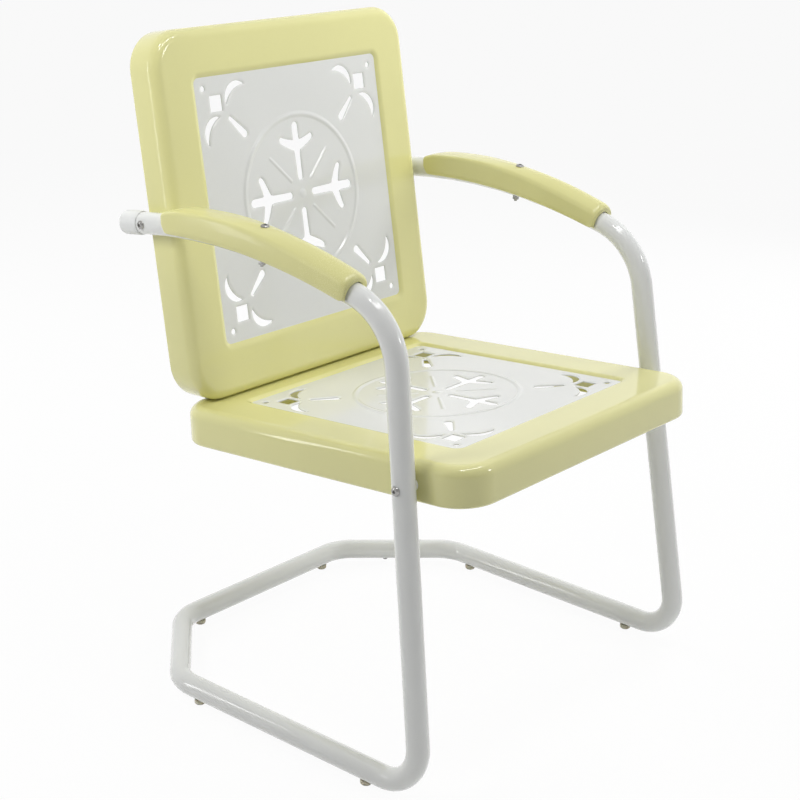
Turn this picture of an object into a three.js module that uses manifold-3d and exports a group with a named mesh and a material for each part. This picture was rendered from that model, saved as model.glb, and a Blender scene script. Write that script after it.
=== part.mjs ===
// Retro spring lawn chair: two-tone stamped seat and back on a bent-tube cantilever frame.
// Lengths are millimetres and angles are degrees. +Z is up and the sitter faces -Y.
// Left and right are the sitter's own, so the left side is at +X.
import * as THREE from 'three';
import { mergeVertices } from 'three/addons/utils/BufferGeometryUtils.js';
import Module from 'manifold-3d';

const wasm = await Module();
wasm.setup();

// Clearances
const seatingGap = 0.3;
const boreGap = 0.35;
const cutOverrun = 3;

// Frame tube
const tubeDiameter = 28.6;
const tubeWall = 1.5;
const tubeRadius = tubeDiameter / 2;
const tubeBore = tubeRadius - tubeWall;
const tubeSides = 12;
const bendStepAngle = 12;
const bendChordError = 0.4;

// Side frame, seen from the side
const glideHeight = 7;
const runnerHeight = glideHeight + tubeRadius;
const legLean = 8.5;
const floorBendRadius = 50;
const shoulderBendRadius = 92;
const armBendRadius = 883.5;
const shoulderStraight = 6;
const armRearSlope = -7;
const armTailLength = 40;

// Floor frame, seen from above
const footHalfSpan = 281.4;
const runnerRearHalfSpan = 286.7;
const runnerLength = 409.6;
const crossHalfSpan = 162.4;
const crossSetback = 129.8;
const rearBendRadius = 60;

// Flexing section of the tube, just behind the floor bend
const flexLead = 4;
const flexGap = 0.9;

// Swaged joint between each runner and the rear cross tube
const jointFromCross = 54;
const spigotGap = 0.3;
const spigotLength = 36;
const neckLength = 4;
const jointGap = 0.4;

// Stamped pans: the seat and the back are both square
const seatPanWidth = 487;
const backPanWidth = 476;
const panDepth = 49.5;
const sheet = 1.2;
const panCornerRadius = 49;
const panEdgeRadius = 14;
const panEdgeAngles = [0, 30, 60, 90];
const hemRadius = 5;
const hemAngles = [0, 45, 90];
const hemWidth = 9;
const windowWidth = 347;
const windowCornerRadius = 8;
const lipWidth = 1.5;
const stepDepth = 4;
const stepRun = 8;
const cornerSteps = 5;

// Pierced panel
const panelLap = 4;
const patternCornerShare = 0.4575;
const dotRadius = 4.2;
const dotSides = 8;
const squareCentreShare = 0.398;
const squareSide = 22;
const crescentNearShare = [0.346, 0.391];
const crescentFarShare = [0.247, 0.456];
const crescentOuterShare = 0.42;
const crescentInnerShare = 0.19;
const dropTipShare = 0.336;
const dropHeadShare = 0.27;
const dropTipRadius = 2.2;
const dropHeadRadius = 4.8;
const dropHeadAngles = [135, 315];
const dropTipAngles = [-45, 135];
const fleurShares = [
  [0.010, 0.060], [0.013, 0.110], [0.018, 0.158], [0.046, 0.178], [0.074, 0.199], [0.087, 0.216],
  [0.084, 0.228], [0.072, 0.227], [0.044, 0.215], [0.017, 0.210], [0.013, 0.240], [0.012, 0.270],
];
const fleurInnerTipShare = 0.055;
const fleurOuterTipShare = 0.281;
const ringRadiusShare = 0.31;
const ringWidth = 7.6;
const ringHeight = 1.3;
const ringSides = 24;
const ribInnerShare = 0.078;
const ribOuterShare = 0.222;
const ribWidth = 4;
const ribHeight = 0.9;
const bossRadius = 7;
const bossHeight = 1.1;

// Seat and back on the frame
const seatBoltHeight = 387;
const seatPitch = 4.5;
const seatBoltFromFront = 81.4;
const seatBoltBelowFace = 27.3;
const recline = 9.9;
const backOverhang = 5.8;
const backGap = 1;
const backBoltAboveMiddle = 1.7;
const backBoltFromRear = 21.5;
const seatSpacerLength = 2.6;
const backSpacerLength = 3.5;
const spacerRadius = 8;
const spacerSaddle = 4;
const saddleSides = 36;

// Bolts between the back and the seat
const tieBoltHalfSpan = 140;
const tieBoltBehindFace = 20;
const tieSpacerRadius = 7;

// Armrests
const armrestLead = 4;
const armrestToBolt = 40.6;
const armrestHalfWidth = 21.5;
const armrestEndHeight = 22;
const armrestCrown = 4.5;
const armrestDrop = 3;
const armrestEdgeRadius = 8;
const armrestNoseLength = 34;
const armrestNoseSkin = 1.2;
const armrestNoseHalfWidth = 17;
const armrestCutLength = 12;
const armrestFrontRound = 6;
const armrestScrewFromFront = 147;
const armrestGap = 0.7;
const armrestEdgeAngles = [0, 30, 60, 90];
const armrestFrontShares = [0, 0.3, 1];
const armrestMiddleSteps = 7;
const armrestNoseShares = [0.35, 0.62, 0.82, 0.94, 1];
const armrestChannelSteps = 8;

// Arm end caps
const capLength = 34;
const capWall = 1.1;
const capEnd = 4;
const capRound = 6;
const capSides = 20;

// Glides under the floor frame
const glideRadius = 7.5;
const glideChamfer = 1.2;
const glideStemRadius = 3;
const glideStemLength = 9;
const frontGlideSetback = 22;
const rearGlideFromCorner = 38;
const crossGlideHalfSpan = 128;

// Fasteners
const boltRadius = 3;
const boltHeadRadius = 5.75;
const boltHeadHeight = 3.4;
const boltTail = 3;
const headShares = [[1, 0.3], [0.8, 0.78], [0.45, 1]];
const nutAcrossFlats = 10;
const nutHeight = 5;
const washerRadius = 7;
const washerThickness = 1.2;
const screwRadius = 2.5;
const screwHeadRadius = 5.6;
const screwHeadHeight = 3;
const screwNutAcrossFlats = 8;
const screwNutHeight = 4;
const jointScrewRadius = 2.1;
const jointScrewHeadRadius = 4;
const jointScrewHeadHeight = 2.4;
const jointScrewLength = 9;
const roundSides = 12;

const degree = Math.PI / 180;

// Finishes
const finishes = {
  yellow: { color: 0xe6dfa6, roughness: 0.3, metalness: 0 },
  white: { color: 0xe4e5e2, roughness: 0.3, metalness: 0 },
  plastic: { color: 0xeeefec, roughness: 0.45, metalness: 0 },
  steel: { color: 0xb9b9b8, roughness: 0.25, metalness: 1 },
  glide: { color: 0xd9cfa8, roughness: 0.5, metalness: 0 },
};

// Small vector helpers

function vec(x, y, z) {
  return new THREE.Vector3(x, y, z);
}

function along(point, direction, distance) {
  return point.clone().addScaledVector(direction, distance);
}

function towards(from, to) {
  return to.clone().sub(from).normalize();
}

// Solids and booleans

// Turns a mesh right side out by the sign of its volume.
function facingOut(geometry) {
  const position = geometry.getAttribute('position');
  const index = geometry.getIndex();
  const corners = [vec(0, 0, 0), vec(0, 0, 0), vec(0, 0, 0)];
  let volume = 0;
  for (let i = 0; i < index.count; i += 3) {
    corners.forEach((corner, k) => corner.fromBufferAttribute(position, index.getX(i + k)));
    volume += corners[0].dot(corners[1].clone().cross(corners[2]));
  }
  if (volume < 0) {
    for (let i = 0; i < index.count; i += 3) {
      const second = index.getX(i + 1);
      index.setX(i + 1, index.getX(i + 2));
      index.setX(i + 2, second);
    }
  }
  return geometry;
}

// Merges shared corners and leaves out triangles that have no area.
function welded(geometry) {
  geometry.deleteAttribute('normal');
  geometry.deleteAttribute('uv');
  const merged = mergeVertices(geometry);
  const index = merged.getIndex();
  const kept = [];
  for (let i = 0; i < index.count; i += 3) {
    const corners = [index.getX(i), index.getX(i + 1), index.getX(i + 2)];
    if (new Set(corners).size === 3) {
      kept.push(...corners);
    }
  }
  merged.setIndex(kept);
  return facingOut(merged);
}

function toSolid(geometry) {
  const closed = welded(geometry.clone());
  const mesh = new wasm.Mesh({
    numProp: 3,
    vertProperties: new Float32Array(closed.getAttribute('position').array),
    triVerts: new Uint32Array(closed.getIndex().array),
  });
  return new wasm.Manifold(mesh);
}

function fromSolid(solid) {
  const mesh = solid.getMesh();
  const geometry = new THREE.BufferGeometry();
  geometry.setAttribute('position', new THREE.BufferAttribute(mesh.vertProperties, 3));
  geometry.setIndex(new THREE.BufferAttribute(mesh.triVerts, 1));
  return geometry;
}

function cut(geometry, cutters) {
  const solid = cutters.reduce((body, cutter) => body.subtract(toSolid(cutter)), toSolid(geometry));
  return fromSolid(solid);
}

function join(geometries) {
  return fromSolid(geometries.map(toSolid).reduce((body, other) => body.add(other)));
}

// A turned solid about +Z. The profile lists radius and height.
function turned(profile, sides = roundSides) {
  const points = profile.map(([radius, height]) => new THREE.Vector2(radius, height));
  return new THREE.LatheGeometry(points, sides).rotateX(90 * degree);
}

// A round rod that starts at a point and runs along a direction.
function rod(start, direction, radius, length, sides = roundSides) {
  const geometry = turned([[0, 0], [radius, 0], [radius, length], [0, length]], sides);
  const turn = new THREE.Quaternion().setFromUnitVectors(vec(0, 0, 1), direction);
  return geometry.applyQuaternion(turn).translate(start.x, start.y, start.z);
}

function boreThrough(point, direction, radius, reach) {
  return rod(along(point, direction, -reach), direction, radius, 2 * reach);
}

// Bent tubes

// One bend between two straights, as an arc that starts where the first straight ends.
function bendAt(before, corner, after, radius) {
  const entry = towards(before, corner);
  const exit = towards(corner, after);
  const turn = entry.angleTo(exit);
  const start = along(corner, entry, -radius * Math.tan(turn / 2));
  const axis = entry.clone().cross(exit).normalize();
  const centre = along(start, axis.clone().cross(entry), radius);
  const spoke = start.clone().sub(centre);
  return {
    turn,
    radius,
    entry,
    start,
    axis,
    point: (angle) => spoke.clone().applyAxisAngle(axis, angle).add(centre),
    tangent: (angle) => entry.clone().applyAxisAngle(axis, angle),
  };
}

// Rings sit at the ends and through each bend only.
class BentCurve extends THREE.Curve {
  constructor(corners, radii) {
    super();
    const last = corners.length - 1;
    this.stations = [{ point: corners[0], tangent: towards(corners[0], corners[1]) }];
    for (let i = 1; i < last; i += 1) {
      const bend = bendAt(corners[i - 1], corners[i], corners[i + 1], radii[i - 1]);
      const smooth = 2 * Math.acos(1 - bendChordError / bend.radius);
      const steps = Math.ceil(bend.turn / Math.min(smooth, bendStepAngle * degree));
      for (let k = 0; k <= steps; k += 1) {
        const angle = (bend.turn * k) / steps;
        this.stations.push({ point: bend.point(angle), tangent: bend.tangent(angle) });
      }
    }
    this.stations.push({ point: corners[last], tangent: towards(corners[last - 1], corners[last]) });
  }

  station(share) {
    return this.stations[Math.round(share * (this.stations.length - 1))];
  }

  getPointAt(share) {
    return this.station(share).point.clone();
  }

  getTangentAt(share) {
    return this.station(share).tangent.clone();
  }
}

function ringPath(radius, sides, PathClass) {
  const outline = new PathClass();
  for (let i = 0; i < sides; i += 1) {
    const angle = (2 * Math.PI * (i + 0.5)) / sides;
    const x = radius * Math.cos(angle);
    const y = radius * Math.sin(angle);
    if (i === 0) {
      outline.moveTo(x, y);
    } else {
      outline.lineTo(x, y);
    }
  }
  outline.closePath();
  return outline;
}

function bentTube(corners, radii, outer = tubeRadius, inner = tubeBore) {
  const path = new BentCurve(corners, radii);
  const section = ringPath(outer, tubeSides, THREE.Shape);
  section.holes.push(ringPath(inner, tubeSides, THREE.Path));
  return new THREE.ExtrudeGeometry(section, {
    steps: path.stations.length - 1,
    bevelEnabled: false,
    extrudePath: path,
  });
}

// Layout of the side view, from the foot up to the arm

const legUp = vec(0, Math.sin(legLean * degree), Math.cos(legLean * degree));
const footCorner = vec(0, 0, runnerHeight);
const seatBolt = along(footCorner, legUp, (seatBoltHeight - runnerHeight) / legUp.z);

const seatTurn = -seatPitch * degree;
const seatAxes = new THREE.Quaternion().setFromAxisAngle(vec(1, 0, 0), seatTurn);
const backTurn = (90 - recline) * degree;
const backAxes = new THREE.Quaternion().setFromAxisAngle(vec(1, 0, 0), backTurn);

function placeIn(axes, centre, x, y, z) {
  return vec(x, y, z).applyQuaternion(axes).add(centre);
}

// Both pans lie face up in their own axes, with the origin in the middle of the face.
const seatBoltInPan = vec(0, seatBoltFromFront - seatPanWidth / 2, -seatBoltBelowFace);
const seatCentre = seatBolt.clone().sub(seatBoltInPan.clone().applyQuaternion(seatAxes));
const backFoot = placeIn(seatAxes, seatCentre, 0, seatPanWidth / 2 + backOverhang, backGap);
const backFootInPan = vec(0, -backPanWidth / 2, -panDepth);
const backCentre = backFoot.clone().sub(backFootInPan.clone().applyQuaternion(backAxes));
const backBolt = placeIn(backAxes, backCentre, 0, backBoltAboveMiddle, backBoltFromRear - panDepth);

const armDown = vec(0, Math.cos(armRearSlope * degree), Math.sin(armRearSlope * degree));
const armEnd = along(backBolt, armDown, armTailLength);

// Clockwise from a direction, in the side view with the rear on the right
function clockwise(direction) {
  return direction.clone().cross(vec(1, 0, 0));
}

// The arm's long bend ends at the back bolt. The shoulder bend touches the leg, and a short
// straight joins it to the arm's bend.
const armCentre = along(backBolt, clockwise(armDown), armBendRadius);
const shoulderBase = along(footCorner, clockwise(legUp), shoulderBendRadius);
const radiusStep = armBendRadius - shoulderBendRadius;
const centreGap = Math.hypot(radiusStep, shoulderStraight);
const fromArmCentre = shoulderBase.clone().sub(armCentre);
const nearest = -fromArmCentre.dot(legUp);
const shoulderRise = nearest + Math.sqrt(nearest ** 2 - fromArmCentre.lengthSq() + centreGap ** 2);
const shoulderCentre = along(shoulderBase, legUp, shoulderRise);
const straightTurn = Math.atan2(shoulderStraight, radiusStep);
const armFrontSpoke = towards(armCentre, shoulderCentre).applyAxisAngle(vec(1, 0, 0), -straightTurn);
const armBack = clockwise(armFrontSpoke);
const shoulderTurn = legUp.angleTo(armBack);
const armTurn = armBack.angleTo(armDown);
const shoulderSetback = shoulderBendRadius * Math.tan(shoulderTurn / 2);
const shoulderCorner = along(footCorner, legUp, shoulderRise + shoulderSetback);
const armCorner = along(backBolt, armDown, -armBendRadius * Math.tan(armTurn / 2));
const armrestLength = armrestLead + armBendRadius * armTurn - armrestToBolt;

// Half spans: the tubes stand outside the pans by a spacer
const seatBoltHalfSpan = seatPanWidth / 2 + seatSpacerLength + tubeRadius;
const backBoltHalfSpan = backPanWidth / 2 + backSpacerLength + tubeRadius;

function legHalfSpan(point) {
  const share = (point.z - footCorner.z) / (seatBolt.z - footCorner.z);
  return THREE.MathUtils.lerp(footHalfSpan, seatBoltHalfSpan, share);
}

function armHalfSpan(point) {
  const share = (point.y - shoulderCorner.y) / (backBolt.y - shoulderCorner.y);
  return THREE.MathUtils.lerp(legHalfSpan(shoulderCorner), backBoltHalfSpan, share);
}

function atSpan(point, side, halfSpan) {
  return vec(side * halfSpan, point.y, point.z);
}

// The corners of one side's frame in space. Side is 1 on the left and -1 on the right.
function sideCorners(side) {
  const runnerRear = vec(0, runnerLength, runnerHeight);
  const cross = vec(0, runnerLength + crossSetback, runnerHeight);
  return {
    armEnd: atSpan(armEnd, side, armHalfSpan(armEnd)),
    arm: atSpan(armCorner, side, armHalfSpan(armCorner)),
    shoulder: atSpan(shoulderCorner, side, legHalfSpan(shoulderCorner)),
    foot: atSpan(footCorner, side, footHalfSpan),
    runnerRear: atSpan(runnerRear, side, runnerRearHalfSpan),
    cross: atSpan(cross, side, crossHalfSpan),
    backBolt: atSpan(backBolt, side, backBoltHalfSpan),
    seatBolt: atSpan(seatBolt, side, seatBoltHalfSpan),
  };
}

// Frame tubes

const chair = new THREE.Group();
const outward = (side) => vec(side, 0, 0);
const upward = vec(0, 0, 1);
const sideName = (side) => (side > 0 ? 'left' : 'right');

function addMesh(name, geometry, finish, parent = chair) {
  const mesh = new THREE.Mesh(welded(geometry), new THREE.MeshStandardMaterial(finish));
  mesh.name = name;
  parent.add(mesh);
  return mesh;
}

// A mesh modelled about +Z, set down at a point and turned to a direction.
function addTurned(name, geometry, finish, point, direction) {
  const mesh = addMesh(name, geometry, finish);
  mesh.position.copy(point);
  mesh.quaternion.setFromUnitVectors(upward, direction);
  return mesh;
}

const boltBore = boltRadius + boreGap;
const screwBore = screwRadius + boreGap;
const stemBore = glideStemRadius + boreGap;
const jointScrewBore = jointScrewRadius + boreGap;

function armBend(corners) {
  return bendAt(corners.armEnd, corners.arm, corners.shoulder, armBendRadius);
}

// A place on the arm, measured forward along the tube from the armrest's front end.
function armPlace(corners, fromFront) {
  const bend = armBend(corners);
  const angle = bend.turn - (fromFront - armrestLead) / armBendRadius;
  if (angle > bend.turn) {
    const forward = bend.tangent(bend.turn);
    return { point: along(bend.point(bend.turn), forward, armrestLead - fromFront), forward };
  }
  return { point: bend.point(angle), forward: bend.tangent(angle) };
}

// Up from the arm, square to the tube.
function armUp(forward) {
  return forward.clone().cross(vec(1, 0, 0)).normalize();
}

function flexPoint(corners) {
  const bend = bendAt(corners.shoulder, corners.foot, corners.runnerRear, floorBendRadius);
  return along(bend.point(bend.turn), towards(corners.foot, corners.runnerRear), flexLead);
}

function jointPoint(corners) {
  return along(corners.cross, towards(corners.cross, corners.runnerRear), jointFromCross);
}

function armLegTube(corners, side) {
  const back = towards(corners.foot, corners.runnerRear);
  const lower = along(flexPoint(corners), back, -flexGap / 2);
  const tube = bentTube(
    [corners.armEnd, corners.arm, corners.shoulder, corners.foot, lower],
    [armBendRadius, shoulderBendRadius, floorBendRadius],
  );
  const screw = armPlace(corners, armrestScrewFromFront);
  return cut(tube, [
    boreThrough(corners.backBolt, outward(side), boltBore, tubeDiameter),
    boreThrough(corners.seatBolt, outward(side), boltBore, tubeDiameter),
    boreThrough(screw.point, armUp(screw.forward), screwBore, tubeDiameter),
  ]);
}

function glidePlaces(corners, side) {
  const back = towards(corners.foot, corners.runnerRear);
  return {
    front: along(flexPoint(corners), back, frontGlideSetback),
    rear: along(corners.runnerRear, back, -rearGlideFromCorner),
    cross: vec(side * crossGlideHalfSpan, corners.cross.y, corners.cross.z),
  };
}

function stemHole(place) {
  return rod(place, vec(0, 0, -1), stemBore, tubeDiameter);
}

function jointScrewPlace(corners) {
  const outwards = towards(corners.cross, corners.runnerRear);
  return along(jointPoint(corners), outwards, neckLength + spigotLength / 2);
}

function runnerTube(corners, side) {
  const back = towards(corners.foot, corners.runnerRear);
  const upper = along(flexPoint(corners), back, flexGap / 2);
  const end = along(jointPoint(corners), towards(corners.cross, corners.runnerRear), jointGap);
  const glides = glidePlaces(corners, side);
  return cut(bentTube([upper, corners.runnerRear, end], [rearBendRadius]), [
    stemHole(glides.front),
    stemHole(glides.rear),
    rod(jointScrewPlace(corners), vec(0, 0, -1), jointScrewBore, tubeDiameter),
  ]);
}

function rearCrossTube(left, right) {
  const spigotRadius = tubeBore - spigotGap;
  const spigotBore = spigotRadius - tubeWall;
  const corners = [jointPoint(left), left.cross, right.cross, jointPoint(right)];
  const pieces = [bentTube(corners, [rearBendRadius, rearBendRadius])];
  for (const side of [left, right]) {
    const out = towards(side.cross, side.runnerRear);
    const joint = jointPoint(side);
    const inside = along(joint, out, -neckLength);
    const tip = along(joint, out, neckLength + spigotLength);
    pieces.push(bentTube([inside, joint], [], tubeRadius, spigotBore));
    pieces.push(bentTube([inside, tip], [], spigotRadius, spigotBore));
  }
  const holes = [];
  for (const [side, sign] of [[left, 1], [right, -1]]) {
    holes.push(rod(jointScrewPlace(side), vec(0, 0, -1), jointScrewBore, tubeDiameter));
    holes.push(stemHole(glidePlaces(side, sign).cross));
  }
  return cut(join(pieces), holes);
}

// Stamped pans

// One ring of a pan, a rounded square at an inset from the edge and a depth below the face.
function panRing(width, inset, depth) {
  const half = width / 2 - inset;
  const windowInset = (width - windowWidth) / 2;
  const nearWindow = inset > windowInset / 2;
  const radius = (nearWindow ? windowCornerRadius + windowInset : panCornerRadius) - inset;
  const centre = half - radius;
  const ring = [];
  for (let quarter = 0; quarter < 4; quarter += 1) {
    for (let k = 0; k <= cornerSteps; k += 1) {
      const angle = (quarter + k / cornerSteps) * 90 * degree;
      const cornerX = centre * (quarter === 0 || quarter === 3 ? 1 : -1);
      const cornerY = centre * (quarter < 2 ? 1 : -1);
      ring.push(vec(cornerX + radius * Math.cos(angle), cornerY + radius * Math.sin(angle), -depth));
    }
  }
  return ring;
}

// The face line of the pan's section, as inset and depth, from the window out to the hem.
function panSection(width) {
  const windowInset = (width - windowWidth) / 2;
  const lipInset = windowInset - lipWidth;
  const points = [
    [windowInset, stepDepth],
    [lipInset, stepDepth],
    [lipInset - stepRun, 0],
  ];
  for (const angle of panEdgeAngles) {
    const inset = panEdgeRadius * (1 - Math.sin(angle * degree));
    points.push([inset, panEdgeRadius * (1 - Math.cos(angle * degree))]);
  }
  for (const angle of hemAngles) {
    const depth = panDepth - hemRadius * (1 - Math.sin(angle * degree));
    points.push([hemRadius * (1 - Math.cos(angle * degree)), depth]);
  }
  points.push([hemWidth, panDepth]);
  return points;
}

// Shifts a section line by the sheet's thickness, towards the hollow side.
function sheetBehind(points) {
  const normals = points.slice(1).map(([inset, depth], i) => {
    const run = new THREE.Vector2(inset - points[i][0], depth - points[i][1]).normalize();
    return new THREE.Vector2(run.y, -run.x);
  });
  return points.map(([inset, depth], i) => {
    const before = normals[Math.max(i - 1, 0)];
    const after = normals[Math.min(i, normals.length - 1)];
    const mitre = before.clone().add(after).normalize();
    const reach = sheet / mitre.dot(before);
    return [inset + mitre.x * reach, depth + mitre.y * reach];
  });
}

// A solid through closed rings of equal length. The last ring joins the first one again.
function hoop(rings) {
  const size = rings[0].length;
  const positions = rings.flat().flatMap((point) => point.toArray());
  const index = [];
  for (let r = 0; r < rings.length; r += 1) {
    const next = (r + 1) % rings.length;
    for (let i = 0; i < size; i += 1) {
      const j = (i + 1) % size;
      index.push(r * size + i, r * size + j, next * size + j);
      index.push(r * size + i, next * size + j, next * size + i);
    }
  }
  const geometry = new THREE.BufferGeometry();
  geometry.setAttribute('position', new THREE.Float32BufferAttribute(positions, 3));
  geometry.setIndex(index);
  return geometry;
}

function panShell(width) {
  const face = panSection(width);
  const outline = face.concat(sheetBehind(face).reverse());
  return hoop(outline.map(([inset, depth]) => panRing(width, inset, depth)));
}

// Pierced panels

function arcPoints(centre, radius, from, to, steps) {
  const points = [];
  for (let k = 0; k <= steps; k += 1) {
    const angle = (from + ((to - from) * k) / steps) * degree;
    points.push([centre[0] + radius * Math.cos(angle), centre[1] + radius * Math.sin(angle)]);
  }
  return points;
}

// Points of an arc between two places that bulges to the left of the way from one to the other.
function bulge(from, to, share, steps) {
  const chord = Math.hypot(to[0] - from[0], to[1] - from[1]);
  const ahead = [(to[0] - from[0]) / chord, (to[1] - from[1]) / chord];
  const points = [];
  const sagitta = chord * share;
  const radius = (chord * chord) / (8 * sagitta) + sagitta / 2;
  const halfAngle = Math.asin(Math.min(1, chord / (2 * radius)));
  for (let k = 0; k <= steps; k += 1) {
    const angle = halfAngle * ((2 * k) / steps - 1);
    const run = chord / 2 + radius * Math.sin(angle);
    const rise = radius * Math.cos(angle) - radius * Math.cos(halfAngle);
    const x = from[0] + ahead[0] * run - ahead[1] * rise;
    const y = from[1] + ahead[1] * run + ahead[0] * rise;
    points.push([x, y]);
  }
  return points;
}

// The cut-outs of the corner at +X +Y
function cornerHoles() {
  const size = windowWidth;
  const dot = size * patternCornerShare;
  const square = size * squareCentreShare;
  const half = squareSide / 2;
  const near = crescentNearShare.map((share) => share * size);
  const far = crescentFarShare.map((share) => share * size);
  const outer = bulge(far, near, -crescentOuterShare, 5);
  const inner = bulge(far, near, -crescentInnerShare, 3);
  const crescent = outer.concat(inner.slice(1, -1).reverse());
  const head = size * dropHeadShare;
  const tip = size * dropTipShare;
  return [
    arcPoints([dot, dot], dotRadius, 0, 360 - 360 / dotSides, dotSides - 1),
    [[square - half, square - half], [square + half, square - half],
      [square + half, square + half], [square - half, square + half]],
    crescent,
    crescent.map(([x, y]) => [y, x]),
    arcPoints([head, head], dropHeadRadius, ...dropHeadAngles, 5)
      .concat(arcPoints([tip, tip], dropTipRadius, ...dropTipAngles, 3)),
  ];
}

function fleurHole() {
  const half = fleurShares.map(([x, y]) => [x * windowWidth, y * windowWidth]);
  const mirrored = half.map(([x, y]) => [-x, y]).reverse();
  const innerTip = [0, fleurInnerTipShare * windowWidth];
  const outerTip = [0, fleurOuterTipShare * windowWidth];
  return [innerTip].concat(half, [outerTip], mirrored);
}

function quarterTurned(points, quarter) {
  const cos = Math.round(Math.cos(quarter * 90 * degree));
  const sin = Math.round(Math.sin(quarter * 90 * degree));
  return points.map(([x, y]) => [cos * x - sin * y, sin * x + cos * y]);
}

function embossing() {
  const ring = ringRadiusShare * windowWidth;
  const profile = [
    [ring - ringWidth / 2, -sheet / 2],
    [ring - ringWidth / 2, 0],
    [ring - ringWidth / 4, ringHeight],
    [ring + ringWidth / 4, ringHeight],
    [ring + ringWidth / 2, 0],
    [ring + ringWidth / 2, -sheet / 2],
    [ring - ringWidth / 2, -sheet / 2],
  ];
  const raised = [turned(profile, ringSides)];
  raised.push(turned([[0, -sheet / 2], [bossRadius, -sheet / 2], [bossRadius, 0], [0, bossHeight]]));
  const inner = ribInnerShare * windowWidth;
  const outer = ribOuterShare * windowWidth;
  for (let quarter = 0; quarter < 4; quarter += 1) {
    const rib = new THREE.BoxGeometry(outer - inner, ribWidth, ribHeight + sheet / 2);
    rib.translate((outer + inner) / 2, 0, (ribHeight - sheet / 2) / 2);
    raised.push(rib.rotateZ((45 + 90 * quarter) * degree));
  }
  return raised;
}

function prism(points, low, high) {
  const outline = new THREE.Shape(points.map(([x, y]) => new THREE.Vector2(x, y)));
  const options = { depth: high - low, bevelEnabled: false };
  return new THREE.ExtrudeGeometry(outline, options).translate(0, 0, low);
}

function piercedPanel() {
  const half = windowWidth / 2 + panelLap;
  const plate = prism([[-half, -half], [half, -half], [half, half], [-half, half]], -sheet, 0);
  const cutters = [];
  for (let quarter = 0; quarter < 4; quarter += 1) {
    for (const hole of cornerHoles().concat([fleurHole()])) {
      cutters.push(prism(quarterTurned(hole, quarter), -sheet - cutOverrun, cutOverrun));
    }
  }
  return join([cut(plate, cutters)].concat(embossing()));
}

// Fasteners, turned about +Z with the underside of the head at zero

function bolt(radius, headRadius, headHeight, length) {
  return turned([
    [0, -length],
    [radius, -length],
    [radius, 0],
    [headRadius, 0],
    ...headShares.map(([wide, high]) => [headRadius * wide, headHeight * high]),
    [0, headHeight],
  ]);
}

function hexNut(acrossFlats, bore, height) {
  const shape = ringPath(acrossFlats / Math.sqrt(3), 6, THREE.Shape);
  shape.holes.push(ringPath(bore, roundSides, THREE.Path));
  return new THREE.ExtrudeGeometry(shape, { depth: height, bevelEnabled: false });
}

function washer(radius, bore, thickness) {
  return turned([[bore, 0], [radius, 0], [radius, thickness], [bore, thickness], [bore, 0]]);
}

// Armrests

// One section of the armrest, as offsets across and above the tube's centre line.
function armrestSection(halfWidth, height, low) {
  const radius = armrestEdgeRadius;
  const right = [[halfWidth, low]];
  for (const angle of armrestEdgeAngles) {
    const rise = height - radius * (1 - Math.sin(angle * degree));
    right.push([halfWidth - radius * (1 - Math.cos(angle * degree)), rise]);
  }
  const left = right.map(([x, z]) => [-x, z]).reverse();
  const channel = (tubeRadius + armrestGap) / Math.cos((Math.PI / 2) / armrestChannelSteps);
  const from = 180 - Math.asin(low / channel) / degree;
  const to = Math.asin(low / channel) / degree;
  return right.concat(left, arcPoints([0, 0], channel, from, to, armrestChannelSteps));
}

// The stations along the armrest with the size of its section at each.
function armrestStations() {
  const stations = [];
  for (const share of armrestFrontShares) {
    const lost = armrestFrontRound * (1 - Math.sin(share * 90 * degree)) / 2;
    stations.push([armrestFrontRound * share, armrestHalfWidth - lost / 2, lost]);
  }
  const noseStart = armrestLength - armrestNoseLength;
  for (let k = 1; k <= armrestMiddleSteps; k += 1) {
    const from = THREE.MathUtils.lerp(armrestFrontRound, noseStart, k / armrestMiddleSteps);
    stations.push([from, armrestHalfWidth, 0]);
  }
  for (const share of armrestNoseShares) {
    const narrowed = 1 - Math.sqrt(1 - share * share);
    const halfWidth = THREE.MathUtils.lerp(armrestHalfWidth, armrestNoseHalfWidth, narrowed);
    const fullDrop = armrestEndHeight - tubeRadius - armrestGap - armrestNoseSkin;
    stations.push([noseStart + armrestNoseLength * share, halfWidth, fullDrop * narrowed]);
  }
  return stations.map(([from, halfWidth, lost]) => {
    const crown = armrestCrown * Math.sin((Math.PI * from) / armrestLength);
    const cutShare = Math.max(0, 1 - (armrestLength - from) / armrestCutLength);
    const low = armrestDrop * (2 * cutShare * cutShare - 1);
    return { from, section: armrestSection(halfWidth, armrestEndHeight + crown - lost, low) };
  });
}

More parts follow.
